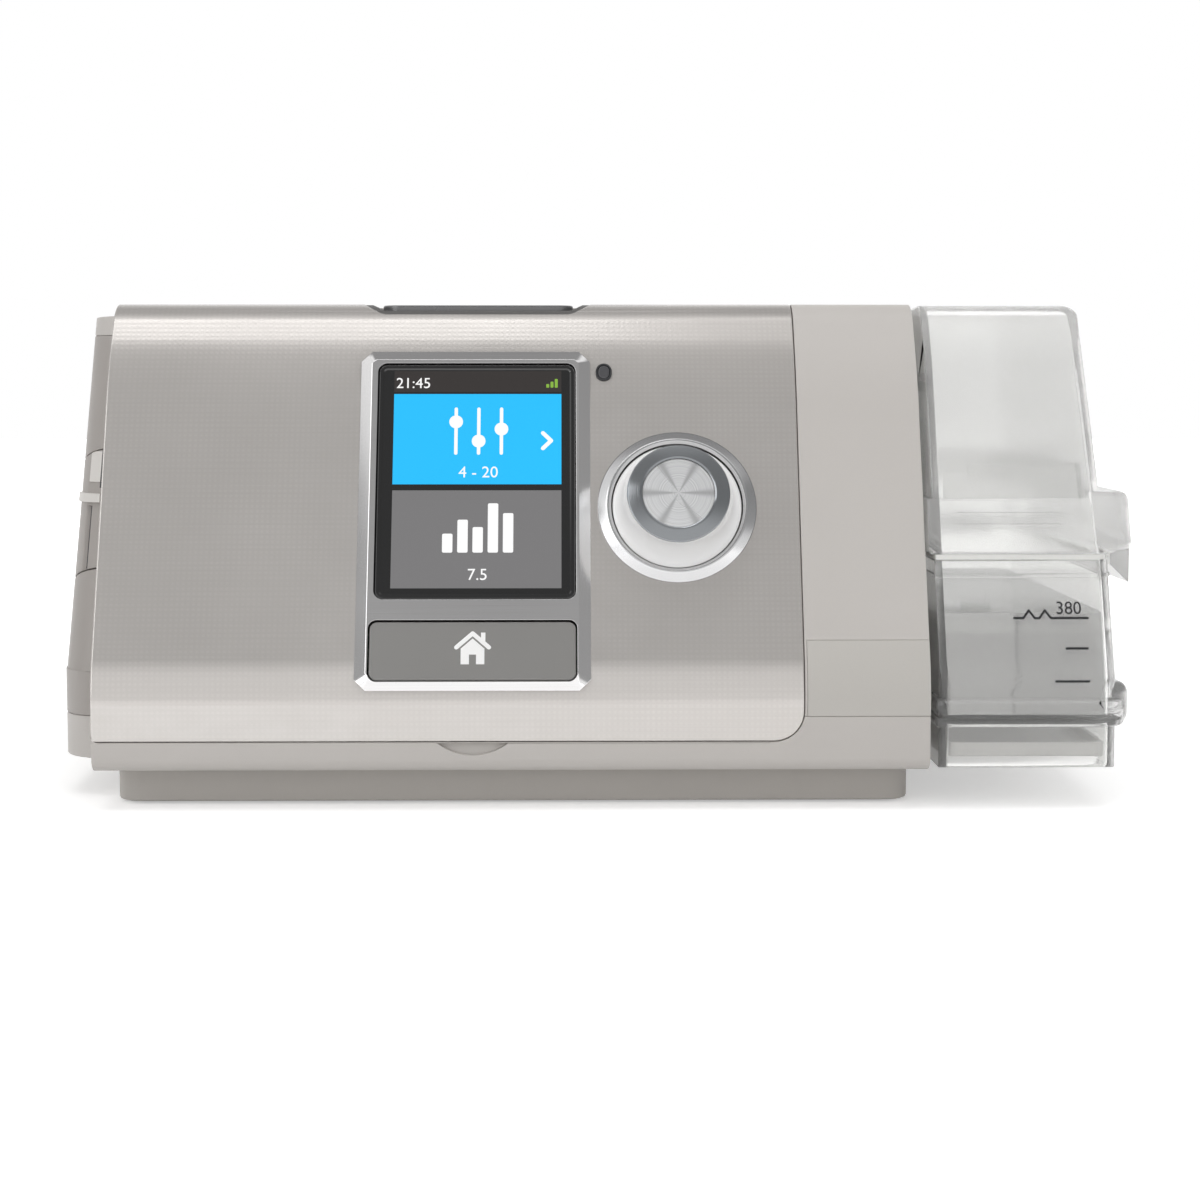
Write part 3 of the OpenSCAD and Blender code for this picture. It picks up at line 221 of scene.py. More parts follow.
def folds(mesh, limit=0.05 * MM * MM):
    """Places where a face's outline crosses itself: there, a bevel was wider than its material."""
    mesh.calc_loop_triangles()
    cover = [0.0] * len(mesh.polygons)
    for piece in mesh.loop_triangles:
        cover[piece.polygon_index] += piece.area
    spots, folded = [], 0.0
    for face in mesh.polygons:
        if cover[face.index] - face.area < limit:
            continue
        folded += cover[face.index] - face.area
        points = [mesh.vertices[i].co for i in face.vertices]
        u = face.normal.orthogonal().normalized()
        v = face.normal.cross(u)
        flat = [Vector((u.dot(p), v.dot(p))) for p in points]
        count, found = len(flat), []
        for i in range(count):
            for j in range(i + 2, count - (i == 0)):
                hit = intersect_line_line_2d(flat[i], flat[(i + 1) % count], flat[j], flat[(j + 1) % count])
                if hit:
                    found.append(u * hit.x + v * hit.y + face.normal * face.normal.dot(points[0]))
        spots += found or [p.copy() for p in points]
    return spots, folded / MM / MM


def break_edges(piece, width, segments=3, angle=32.0, tries=9):
    """Breaks every sharp edge, as moulding and polishing do.

    Where a face folds or a point flies off, the edges near it get half the width, and the piece is
    done again. The cleanest try is kept.
    """
    raw = piece.data
    skin = BVHTree.FromPolygons([v.co for v in raw.vertices], [p.vertices[:] for p in raw.polygons])
    shape = bmesh.new()
    shape.from_mesh(raw)
    share = [float(len(e.link_faces) == 2 and e.calc_face_angle() > math.radians(angle)) for e in shape.edges]
    shape.free()
    ends = [(raw.vertices[e.vertices[0]].co, raw.vertices[e.vertices[1]].co) for e in raw.edges]
    best = None
    for attempt in range(tries):
        piece.data = raw.copy()
        weight = piece.data.attributes.new("bevel_weight_edge", "FLOAT", "EDGE")
        weight.data.foreach_set("value", share)
        take(piece)
        step = piece.modifiers.new("break", "BEVEL")
        step.width, step.segments, step.limit_method = width * MM, segments, "WEIGHT"
        step.use_clamp_overlap = False
        bpy.ops.object.modifier_apply(modifier=step.name)
        spots, folded = folds(piece.data)
        flown = [v for v in piece.data.vertices if skin.find_nearest(v.co)[3] > 0.5 * width * MM]
        spots += [v.co.copy() for v in flown]
        for v in flown:
            v.co = skin.find_nearest(v.co)[0]
        folded += FLOWN_COST * len(flown)
        if best is None or folded < best[0]:
            best = (folded, piece.data)
        if not spots:
            break
        for i, (a, b) in enumerate(ends):
            if share[i] and any(segment_distance(p, a, b) < NEAR_FOLD * width * MM for p in spots):
                share[i] = share[i] / 2 if attempt % 3 < 2 else 0.0
    piece.data = best[1]
    if best[0]:
        print("  ", piece.name, "keeps", round(best[0], 2), "mm2 folded")
    if "bevel_weight_edge" in piece.data.attributes:
        piece.data.attributes.remove(piece.data.attributes["bevel_weight_edge"])
    return piece


def segment_distance(p, a, b):
    spot, t = intersect_point_line(p, a, b)
    if t < 0 or t > 1:
        spot = a if t < 0 else b
    return (p - spot).length


# %% Shading, and which way an edge runs
def smooth(piece, angle):
    take(piece)
    bpy.ops.object.shade_smooth_by_angle(angle=math.radians(angle))
    return piece


def shade(piece, angle=32.0):
    """Smooth shading over soft edges; the large faces decide how the light runs."""
    smooth(piece, angle)
    step = piece.modifiers.new("even", "WEIGHTED_NORMAL")
    step.keep_sharp = True
    bpy.ops.object.modifier_apply(modifier=step.name)
    return piece


def soften(piece, width, segments=3, angle=32.0):
    return shade(break_edges(piece, width, segments, angle), angle)


def along(axis):
    """A test for edges that run along one axis: 0, 1 or 2 for X, Y or Z."""
    def test(edge):
        a, b = edge.verts
        return all(abs(a.co[i] - b.co[i]) < 1e-7 for i in range(3) if i != axis)
    return test


along_x, along_y, along_z = along(0), along(1), along(2)


# %% [markdown]
# ## One profile for the fascia, the column and the tub
# The case is a box that is sawn along the leaning face, the brow and the top, and then rounded at each of
# the six corners. To make an inner surface, the same saw cuts are set deeper, so a wall keeps its
# thickness everywhere.

# %% The case form
CORNERS = [(FRONT, FOOT), (BACK, FOOT), REAR_TOP, BROW, SHOULDER, KNEE]
CORNER_RADII = [3.0, 4.0, 14.0, 10.0, 80.0, 28.0]
CORNER_STEPS = [5, 5, 10, 14, 12, 16]


def side_normal(i):
    """Outward direction of the side of the profile between corner i and the next one, as (y, z)."""
    a, b = Vector(CORNERS[i]), Vector(CORNERS[(i + 1) % 6])
    way = (b - a) / (b - a).length
    return Vector((way.y, -way.x))


def drawn_in(inset):
    """The corners of the profile when every side is drawn in by the same distance."""
    points = []
    for i in range(6):
        before, after = side_normal(i - 1), side_normal(i)
        points.append(Vector(CORNERS[i]) - inset * (before + after) / (1 + before.dot(after)))
    return points


def case_form(name, x0, x1, inset):
    points = drawn_in(inset)
    low, high = (x0, FRONT + inset, FOOT + inset), (x1, BACK - inset, 130)
    piece = block(name, low, high)
    for i in (2, 3, 4):
        n = side_normal(i)
        slice_off(piece, (0, points[i].x, points[i].y), (0, n.x, n.y))
    for i in range(6):
        p = points[i]
        radius = max(CORNER_RADII[i] - inset, 0.8)
        turn = math.degrees(side_normal(i - 1).angle(side_normal(i)))
        here = lambda e: along_x(e) and (Vector((middle(e).y, middle(e).z)) - p).length < 0.01
        round_edges(piece, here, radius, CORNER_STEPS[i], turn)
    return piece


# %% [markdown]
# ## Working on the leaning face
# The screen, the buttons and the dial sit square to the face. They are shaped flat on the bench, with X
# across, Y up the face and Z out of it, and then tilted into place in one move. The move is applied to
# the mesh, so each finished object sits at the origin.

# %% Placing on the face
FACE = Matrix.Translation(Vector((0, KNEE[0], KNEE[1])) * MM) @ Matrix.Rotation(math.pi / 2 - LEAN, 4, "X")
SCREEN_X, SCREEN_Z = -25.8, 66.0
DIAL_X, DIAL_Z = 21.2, 68.4
SENSOR_AT = (4.4, 99.6)


def on_face(piece, x=SCREEN_X, z=SCREEN_Z):
    """Tilts a piece into place; it lands on the middle of the screen if no place is given."""
    return moved(piece, FACE @ Matrix.Translation(Vector((x, (z - KNEE[1]) / math.cos(LEAN), 0)) * MM))


def plate(name, width, length, radius, z0, z1, middle_at=(0, 0), segments=8):
    """A flat plate with rounded corners, lying on the bench."""
    cx, cy = middle_at
    low = (cx - width / 2, cy - length / 2, z0)
    high = (cx + width / 2, cy + length / 2, z1)
    piece = block(name, low, high)
    round_edges(piece, along_z, radius, segments)
    return piece


# %% [markdown]
# ## Copies of the construction's shells
# The upper, lower and rear shells have many cut-outs that fit other pieces. Shaping them again would only
# bring errors, so a shell is copied, its loose triangles are merged into clean faces, and its edges are
# broken. Real moulded shells have edges of 0.3 to 0.5 mm, which catch a thin line of light.

# %% A dressed copy of a node
def dressed_copy(name, node, width, segments=2, angle=32.0):
    piece = bpy.data.objects.new(name, NODES[node].data.copy())
    piece.data.name = name
    bpy.context.scene.collection.objects.link(piece)
    take(piece)
    bpy.ops.mesh.customdata_custom_splitnormals_clear()
    bpy.ops.object.mode_set(mode="EDIT")
    bpy.ops.mesh.select_all(action="SELECT")
    bpy.ops.mesh.remove_doubles(threshold=0.001 * MM)
    bpy.ops.mesh.dissolve_limited(angle_limit=math.radians(0.6))
    leave_edit()
    if width:
        soften(piece, width, segments, angle)
    return piece


# %% [markdown]
# ## Handing a finished piece over
# A finished piece gets its finish, rides on the body that it moves with, and hides the nodes that it
# stands for. Each hand-over prints its size, so a slip shows at once.

# %% Handing over
def coat(piece, finish):
    piece.data.materials.clear()
    piece.data.materials.append(FINISH[finish])


def hand_over(piece, finish, body, *nodes, slot=None):
    """Gives a piece its finish and its body; the slot argument is not used."""
    coat(piece, finish)
    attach(piece, body)
    if nodes:
        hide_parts(*nodes)
    size = [round(v / MM, 1) for v in piece.dimensions]
    print(piece.name, "on", body, size, "mm,", len(piece.data.polygons), "faces")
    return piece


# %% [markdown]
# ## The studio
# The photograph was taken a little above the machine, a bit over half a metre away, with a long lens. The
# camera stands there, tilted down about five degrees and turned slightly to the right. The floor is plain
# and pale. Polished metal shows what stands round it, so the world is a room with bright walls and darker
# strips above them, as the black cards of a studio; plain surfaces only get a soft even light from it.

# %% Camera
put_down()
camera_data = bpy.data.cameras.new("camera")
camera_data.lens, camera_data.sensor_width = 74.6, 36.0
camera = bpy.data.objects.new("camera", camera_data)
bpy.context.scene.collection.objects.link(camera)
camera.location = Vector((-4.3, -633.45, 100.0)) * MM
TILT_DOWN, TURN_RIGHT = 5.28, 0.76
camera.rotation_euler = (math.radians(90 - TILT_DOWN), 0, math.radians(-TURN_RIGHT))
bpy.context.scene.camera = camera
bpy.context.scene.view_settings.view_transform = "Standard"
print("camera", [round(v, 4) for v in camera.location])


# %% Wiring helpers for node trees: where a value comes from is a (node, output) pair
def wire(tree, source, target, socket):
    tree.links.new(source[0].outputs[source[1]], target.inputs[socket])


def node(tree, kind, **settings):
    made = tree.nodes.new(kind)
    for key, value in settings.items():
        setattr(made, key, value)
    return made


def feed(tree, target, socket, value):
    """Gives a socket a constant, or wires a (node, output) pair to it."""
    if isinstance(value, tuple) and len(value) == 2:
        wire(tree, value, target, socket)
    else:
        target.inputs[socket].default_value = value


def maths(tree, operation, *values, clamp=False):
    made = node(tree, "ShaderNodeMath", operation=operation, use_clamp=clamp)
    for i, value in enumerate(values):
        feed(tree, made, i, value)
    return made, 0


def vectors(tree, operation, *values, scale=None):
    """Vector maths; a length and a dot product come out as a value."""
    made = node(tree, "ShaderNodeVectorMath", operation=operation)
    for i, value in enumerate(values):
        feed(tree, made, i, value)
    if scale is not None:
        feed(tree, made, "Scale", scale)
    return made, "Value" if operation in ("LENGTH", "DOT_PRODUCT") else "Vector"


def coords(tree, kind="Object"):
    return node(tree, "ShaderNodeTexCoord"), kind


def axes_of(tree, source):
    """Splits a vector; the outputs of the node are X, Y and Z."""
    split = node(tree, "ShaderNodeSeparateXYZ")
    wire(tree, source, split, 0)
    return split


def levels(tree, position, stops):
    """A grey that follows a position: stops are (position, level) pairs."""
    ramp = node(tree, "ShaderNodeValToRGB")
    ramp.color_ramp.elements.remove(ramp.color_ramp.elements[1])
    for i, (place, level) in enumerate(stops):
        stop = ramp.color_ramp.elements[0] if i == 0 else ramp.color_ramp.elements.new(place)
        stop.position, stop.color = place, (level, level, level, 1)
    wire(tree, position, ramp, 0)
    return ramp, "Color"


def share_of(tree, value, low, high, at_low=0.0, at_high=1.0):
    """A share that grows from at_low to at_high while a value goes from low to high."""
    made = node(tree, "ShaderNodeMapRange")
    for i, setting in enumerate((value, low, high, at_low, at_high)):
        feed(tree, made, i, setting)
    return made, "Result"


def mixed(tree, factor, a, b):
    """Two colours mixed; each is a constant or a (node, output) pair."""
    made = node(tree, "ShaderNodeMix", data_type="RGBA")
    for socket, value in ((0, factor), (6, a), (7, b)):
        feed(tree, made, socket, value)
    return made, 2


# %% World: what the camera, metal and plain surfaces see round the machine
# The camera and clear plastic see plain white, metal sees a room with darker strips, and plain
# surfaces get a soft light. The room has one arch of strips in front, over and behind, and one set
# of levels for each side.
world = bpy.data.worlds.new("studio")
bpy.context.scene.world = world
world.use_nodes = True
tree = world.node_tree
tree.nodes.clear()

way = axes_of(tree, coords(tree, "Generated"))
ahead = maths(tree, "MULTIPLY", (way, "Y"), -1.0)
over = maths(tree, "ARCTAN2", (way, "Z"), ahead)
turn = maths(tree, "DIVIDE", over, math.pi)
arch = levels(tree, turn, (
    (0.0, 1.0), (0.12, 1.0), (0.18, 0.50), (0.22, 0.38), (0.36, 0.42), (0.42, 1.0),
    (0.50, 1.0), (0.555, 0.34), (0.72, 0.30), (0.84, 0.8), (0.9, 1.0),
))
left = levels(tree, (way, "Z"), ((0.14, 1.0), (0.22, 0.42), (0.445, 0.34), (0.475, 1.0), (0.9, 0.9)))
right = levels(tree, (way, "Z"), ((0.14, 1.0), (0.24, 0.42), (0.60, 0.32), (0.85, 0.6)))
room = mixed(tree, share_of(tree, (way, "X"), -0.50, -0.75), arch, left)
room = mixed(tree, share_of(tree, (way, "X"), 0.50, 0.75), room, right)
path = node(tree, "ShaderNodeLightPath")
open_view = maths(tree, "MAXIMUM", (path, "Is Camera Ray"), (path, "Is Transmission Ray"))
shows = []
for colour, strength in (((1, 1, 1, 1), 1.0), ((1.0, 0.99, 0.98, 1), 0.45), (room, 1.0)):
    shown = node(tree, "ShaderNodeBackground")
    feed(tree, shown, "Color", colour)
    feed(tree, shown, "Strength", strength)
    shows.append((shown, 0))
metal_or_plain, all_rays = node(tree, "ShaderNodeMixShader"), node(tree, "ShaderNodeMixShader")
for mix, sources in (
    (metal_or_plain, ((path, "Is Glossy Ray"), shows[1], shows[2])),
    (all_rays, (open_view, (metal_or_plain, 0), shows[0])),
):
    for i, source in enumerate(sources):
        wire(tree, source, mix, i)
wire(tree, (all_rays, 0), node(tree, "ShaderNodeOutputWorld"), 0)


# %% Lamps: a soft window on each side, soft panels above and behind, and a strip that only metal shows
def lamp(name, place, aim, size, watts, mirrored):
    light = bpy.data.lights.new(name, "AREA")
    light.shape, light.size, light.size_y, light.energy = "RECTANGLE", size[0], size[1], watts
    thing = bpy.data.objects.new(name, light)
    bpy.context.scene.collection.objects.link(thing)
    thing.location = place
    thing.rotation_euler = (Vector(aim) - Vector(place)).to_track_quat("-Z", "Y").to_euler()
    thing.visible_glossy = mirrored
    return thing


lamp("window_left", (-1.1, -1.0, 0.75), (0, 0, 0.06), (0.9, 1.2), 6.0, True)
lamp("window_right", (1.2, -0.9, 0.6), (0, 0, 0.06), (0.9, 1.2), 4.4, False)
lamp("panel_above", (0.0, -0.15, 1.3), (0, 0, 0.05), (1.2, 0.9), 7.0, False)
lamp("panel_behind", (0.2, 1.2, 0.9), (0, 0, 0.05), (1.2, 0.8), 4.0, False)
shine = lamp("strip_above", (-0.35, -0.35, 1.33), (-0.35, -0.04, 0.11), (0.8, 0.12), 0.72, True)
shine.visible_diffuse = False
print("four lamps, a strip that only metal shows, and a room")

# %% Floor
put_down()
bpy.ops.mesh.primitive_plane_add(size=6)
floor = bpy.context.object
floor.name = floor.data.name = "floor"
paper = bpy.data.materials.new("studio_paper")
paper.use_nodes = True
tree = paper.node_tree
surface = tree.nodes["Principled BSDF"]
for label, value in (
    ("Base Color", (0.86, 0.86, 0.86, 1)), ("Roughness", 0.9), ("Specular IOR Level", 0.1),
    ("Emission Color", (1, 1, 1, 1)),
):
    surface.inputs[label].default_value = value
path = node(tree, "ShaderNodeLightPath")
mirrors = maths(tree, "MAXIMUM", (path, "Is Glossy Ray"), (path, "Is Transmission Ray"))
seen = maths(tree, "MAXIMUM", (path, "Is Camera Ray"), mirrors)
fade = share_of(tree, vectors(tree, "LENGTH", coords(tree)), 0.25, 1.1, 0.42, 1.0)
wire(tree, maths(tree, "MULTIPLY", seen, fade), surface, "Emission Strength")
floor.data.materials.append(paper)

# %% [markdown]
# ## Finishes that several materials share
# A moulded shell is never one flat colour. Its grain is a fraction of a millimetre, its tone drifts over
# some centimetres, its edges are rubbed a little paler, and dust settles on what faces up. Each of these
# is a node group with named sockets, so that every material can use it with its own values. The patterns
# read Object coordinates, turned into millimetres.

# %% Starting a node group
def new_group(name, inputs, outputs):
    """A node group; inputs are (name, default), and the kind of a socket follows from its default."""
    group = bpy.data.node_groups.new(name, "ShaderNodeTree")
    kinds = {float: "NodeSocketFloat", tuple: "NodeSocketColor", Vector: "NodeSocketVector"}
    for label, value in inputs:
        socket = group.interface.new_socket(name=label, in_out="INPUT", socket_type=kinds[type(value)])
        socket.default_value = value
    for label in outputs:
        kind = "NodeSocketColor" if label == "Colour" else "NodeSocketFloat"
        group.interface.new_socket(name=label, in_out="OUTPUT", socket_type=kind)
    print("group", name, "puts out", *outputs)
    return group, node(group, "NodeGroupInput"), node(group, "NodeGroupOutput")


def millimetres(tree):
    """Object coordinates in millimetres."""
    return vectors(tree, "SCALE", coords(tree), scale=1 / MM)


def noise(tree, at, size, detail=2.0, stretch=None):
    """Noise whose features are about size millimetres wide; stretch squeezes the axes first."""
    if stretch:
        at = vectors(tree, "MULTIPLY", at, stretch)
    made = node(tree, "ShaderNodeTexNoise")
    made.inputs["Scale"].default_value = 1 / size
    made.inputs["Detail"].default_value = detail
    wire(tree, at, made, "Vector")
    return made, "Fac"


def spread(tree, value, amount, base=0.0):
    """base + amount x (value - 0.5)"""
    centred = maths(tree, "SUBTRACT", value, 0.5)
    return maths(tree, "ADD", maths(tree, "MULTIPLY", centred, amount), base)


def tinted(tree, colour, factor):
    """A colour made lighter or darker by a factor."""
    return vectors(tree, "SCALE", colour, scale=factor)


GREY = (0.5, 0.5, 0.5, 1)

# %% Group: moulded grain
GRAIN, given, result = new_group(
    "moulded_grain", [("Colour", GREY), ("Tone", 0.05), ("Roughness", 0.5), ("Speckle", 0.04)],
    ["Colour", "Roughness", "Height"],
)
at = millimetres(GRAIN)
fine, broad = noise(GRAIN, at, 0.22, 3.0), noise(GRAIN, at, 38.0, 2.0)
drift = spread(GRAIN, broad, (given, "Tone"))
speck = spread(GRAIN, fine, (given, "Speckle"))
level = maths(GRAIN, "ADD", maths(GRAIN, "ADD", drift, speck), 1.0)
wire(GRAIN, tinted(GRAIN, (given, "Colour"), level), result, "Colour")
rough = maths(GRAIN, "ADD", spread(GRAIN, broad, 0.14), (given, "Roughness"), clamp=True)
wire(GRAIN, rough, result, "Roughness")
wire(GRAIN, fine, result, "Height")

# %% Group: rubbed edges
RUB, given, result = new_group(
    "rubbed_edges", [("Colour", GREY), ("Rubbed", (0.8, 0.8, 0.8, 1)), ("Amount", 0.3)], ["Colour"])
edge = share_of(RUB, (node(RUB, "ShaderNodeNewGeometry"), "Pointiness"), 0.52, 0.62)
worn = maths(RUB, "MULTIPLY", edge, noise(RUB, millimetres(RUB), 6.0, 4.0))
share = maths(RUB, "MULTIPLY", worn, (given, "Amount"))
wire(RUB, mixed(RUB, share, (given, "Colour"), (given, "Rubbed")), result, "Colour")

# %% Group: dust that has settled
DUST_TONE = (0.62, 0.60, 0.57, 1)
DUST, given, result = new_group("settled_dust", [("Colour", GREY), ("Amount", 0.1)], ["Colour"])
upward = axes_of(DUST, coords(DUST, "Normal"))
cover = maths(
    DUST, "MULTIPLY", share_of(DUST, (upward, "Z"), 0.6, 1.0), noise(DUST, millimetres(DUST), 1.6, 6.0))
mask = maths(DUST, "MULTIPLY", cover, (given, "Amount"))
wire(DUST, mixed(DUST, mask, (given, "Colour"), DUST_TONE), result, "Colour")

# %% Group: the fine grid that is embossed in the metallic fascia
GRID, given, result = new_group("embossed_grid", [("Pitch", 1.25)], ["Height", "Fleck"])
at = millimetres(GRID)
ridges = []
for way in ((1, 0, 0), (0, math.sin(LEAN), math.cos(LEAN))):
    turns = maths(GRID, "DIVIDE", vectors(GRID, "DOT_PRODUCT", at, way), (given, "Pitch"))
    swing = maths(GRID, "SINE", maths(GRID, "MULTIPLY", turns, 2 * math.pi))
    ridges.append(maths(GRID, "MULTIPLY_ADD", swing, 0.5, 0.5))
dots = maths(GRID, "MULTIPLY", *ridges)
wire(GRID, dots, result, "Height")
wire(GRID, maths(GRID, "MULTIPLY", dots, noise(GRID, at, 9.0, 3.0)), result, "Fleck")

# %% Group: brushed metal, with its lines along X
BRUSH, given, result = new_group("brushed_lines", [("Strength", 1.0)], ["Tone", "Height"])
lines = noise(BRUSH, millimetres(BRUSH), 1.0, 4.0, stretch=(0.03, 6.0, 6.0))
wire(BRUSH, spread(BRUSH, lines, (given, "Strength"), 1.0), result, "Tone")
wire(BRUSH, lines, result, "Height")

# %% [markdown]
# ## Mixing a finish
# Most of the machine is moulded or painted plastic, so one recipe mixes them all: grain, rubbed edges,
# dust, a small bump. Values that are the same all over, such as the coat or the index of refraction, are
# set straight on the shader.

# %% The recipe for plastics and plain metals
def paint(r, g, b):
    """A colour as a picture gives it, 0 to 255, made linear."""
    return tuple(((v / 255 + 0.055) / 1.055) ** 2.4 if v > 10 else v / 255 / 12.92 for v in (r, g, b)) + (1,)


def place_group(tree, group, **values):
    made = node(tree, "ShaderNodeGroup", node_tree=group)
    for label, value in values.items():
        feed(tree, made, label, value)
    return made


def blank(name, **fixed):
    """A material with its shader's constants set; returns the material, its tree and its shader."""
    finish = bpy.data.materials.new(name)
    finish.use_nodes = True
    surface = finish.node_tree.nodes["Principled BSDF"]
    for label, value in fixed.items():
        surface.inputs[label.replace("_", " ")].default_value = value
    return finish, finish.node_tree, surface


def grained(tree, surface, colour, tone, roughness, speckle):
    """Grain in a finish: its roughness goes straight to the shader."""
    grain = place_group(tree, GRAIN, Colour=colour, Tone=tone, Roughness=roughness, Speckle=speckle)
    wire(tree, (grain, "Roughness"), surface, "Roughness")
    return grain


def bump(tree, surface, height, strength, distance=0.02):
    relief = node(tree, "ShaderNodeBump")
    relief.inputs["Strength"].default_value = strength
    relief.inputs["Distance"].default_value = distance * MM
    wire(tree, height, relief, "Height")
    wire(tree, (relief, "Normal"), surface, "Normal")


def moulded(name, colour, roughness=0.5, tone=0.05, speckle=0.05, relief=0.25, rub=0.15, dust=0.06, **fixed):
    """A plastic, rubber or plain metal; its colour is given as a picture gives it, 0 to 255."""
    finish, tree, surface = blank(name, **fixed)
    colour = paint(*colour)
    grain = grained(tree, surface, colour, tone, roughness, speckle)
    paler = tuple(min(1, c * 1.35 + 0.03) for c in colour[:3]) + (1,)
    rubbed = place_group(tree, RUB, Colour=(grain, "Colour"), Rubbed=paler, Amount=rub)
    dusty = place_group(tree, DUST, Colour=(rubbed, "Colour"), Amount=dust)
    wire(tree, (dusty, "Colour"), surface, "Base Color")
    bump(tree, surface, (grain, "Height"), relief)
    return finish


# %% Plastics, rubbers and plain metals
FINISH = {
    "shell": moulded("warm_grey_shell", (193, 189, 185), 0.46, speckle=0.07),
    "plinth": moulded("plinth_plastic", (188, 184, 179), 0.55),
    "end": moulded("end_plastic", (163, 158, 154), 0.42),
    "plate": moulded("plate_plastic", (190, 187, 182), 0.40, speckle=0.09),
    "vent": moulded("vent_plastic", (190, 186, 181), 0.50),
    "button": moulded("button_plastic", (134, 133, 131), 0.34, speckle=0.03, relief=0.1, Coat_Weight=0.3),
    "key": moulded("key_metal_paint", (118, 118, 119), 0.26, relief=0.08, Metallic=0.4),
    # The dark grey of the scoop lining is painted shade in the scoop
    "scoop": moulded("scoop_shade", (84, 83, 82), 0.50, relief=0.1),
    "chrome": moulded(
        "ring_satin_chrome", (206, 206, 207), 0.20, relief=0.05, rub=0.05, dust=0.0, Metallic=1.0),
    "knob": moulded(
        "knob_pearl_white", (251, 251, 251), 0.24, relief=0.05, rub=0.05, dust=0.02, Coat_Weight=0.5),
    "eye": moulded("eye_glass", (74, 74, 77), 0.18, relief=0.05, Coat_Weight=0.6),
    "tab": moulded("tab_plastic", (214, 211, 207), 0.40),
    "steel": moulded("plain_steel", (188, 191, 195), 0.30, relief=0.1, Metallic=1.0),
    "plunger": moulded("plunger_plastic", (214, 214, 212), 0.40),
    "black_plastic": moulded("black_plastic", (44, 45, 48), 0.42, speckle=0.12),
    "switch": moulded("switch_plastic", (36, 36, 38), 0.38, speckle=0.12),
    "blower": moulded("blower_plastic", (96, 99, 104), 0.48),
    "soft_mount": moulded("mount_rubber", (196, 118, 92), 0.72, tone=0.1),
    "magnet": moulded("magnet_nickel", (120, 123, 128), 0.32, Metallic=0.9),
    "impeller": moulded("impeller_plastic", (228, 227, 222), 0.35),
    "sensor": moulded("sensor_plastic", (52, 98, 140), 0.40),
    "port": moulded("port_plastic", (222, 220, 215), 0.36),
    "bay": moulded("bay_plastic", (158, 154, 150), 0.52),
    "seal": moulded("seal_silicone", (146, 151, 155), 0.55, tone=0.1),
    "gasket": moulded("gasket_silicone", (238, 238, 235), 0.50, tone=0.1),
    "feet": moulded("feet_rubber", (58, 57, 56), 0.82, tone=0.12, speckle=0.2),
    "sign": moulded("printed_white", (246, 246, 246), 0.45, tone=0.02, relief=0.05, rub=0.0, dust=0.0),
    "mark": moulded("printed_black", (30, 31, 34), 0.50, tone=0.05, relief=0.05, rub=0.0, dust=0.0),
}
print(len(FINISH), "plain finishes")

# %% [markdown]
# ## Finishes of the showpieces
# The fascia is a metallic sheet with a fine embossed grid. The screen frame is brushed and polished, the
# disc of the dial is turned on a lathe, so its lines run round, and the tub is clear plastic with a light
# haze. Each has its own tree, with the shared groups in it.

# %% Fascia: metallic sheet with the grid
finish, tree, surface = blank("fascia_metal", Metallic=0.6, Coat_Weight=0.15, Coat_Roughness=0.3)
grid = place_group(tree, GRID, Pitch=1.25)
grain = grained(tree, surface, paint(204, 200, 196), 0.03, 0.21, 0.05)
lines = place_group(tree, BRUSH, Strength=0.10)
level = maths(tree, "MULTIPLY", (lines, "Tone"), spread(tree, (grid, "Fleck"), 0.10, 1.0))
colour = tinted(tree, (grain, "Colour"), level)
rubbed = place_group(tree, RUB, Colour=colour, Rubbed=paint(225, 223, 221), Amount=0.35)
wire(tree, (rubbed, "Colour"), surface, "Base Color")
bump(tree, surface, (grid, "Height"), 0.22, 0.03)
FINISH["fascia"] = finish

# %% Screen frame: brushed, then polished on its bevels
finish, tree, surface = blank("frame_metal", Metallic=1.0)
grain = grained(tree, surface, paint(226, 225, 225), 0.04, 0.13, 0.03)
lines = place_group(tree, BRUSH, Strength=0.16)
wire(tree, tinted(tree, (grain, "Colour"), (lines, "Tone")), surface, "Base Color")
bump(tree, surface, (lines, "Height"), 0.05, 0.01)
FINISH["frame"] = finish

# %% Screen window: black glass, with a few smears of use
finish, tree, surface = blank("black_glass", Coat_Weight=0.8, Coat_Roughness=0.03, IOR=1.5)
grain = grained(tree, surface, paint(12, 12, 13), 0.2, 0.10, 0.02)
wire(tree, (grain, "Colour"), surface, "Base Color")
FINISH["window"] = finish


# %% Screen picture: lit tiles under the same glass
def lit(name, colour, glow):
    finish, tree, surface = blank(name, Coat_Weight=0.8, Coat_Roughness=0.03, Roughness=0.25)
    grain = place_group(tree, GRAIN, Colour=colour, Tone=0.06, Roughness=0.25, Speckle=0.02)
    wire(tree, tinted(tree, (grain, "Colour"), 0.12), surface, "Base Color")
    wire(tree, (grain, "Colour"), surface, "Emission Color")
    surface.inputs["Emission Strength"].default_value = glow
    return finish


for name, colour, glow in (
    ("picture_dark", (46, 40, 38), 0.7), ("picture_blue", (8, 190, 252), 0.92),
    ("picture_grey", (124, 123, 124), 0.8), ("picture_white", (252, 252, 252), 0.92),
    ("picture_green", (140, 190, 60), 0.8),
):
    FINISH[name] = lit(name, paint(*colour), glow)
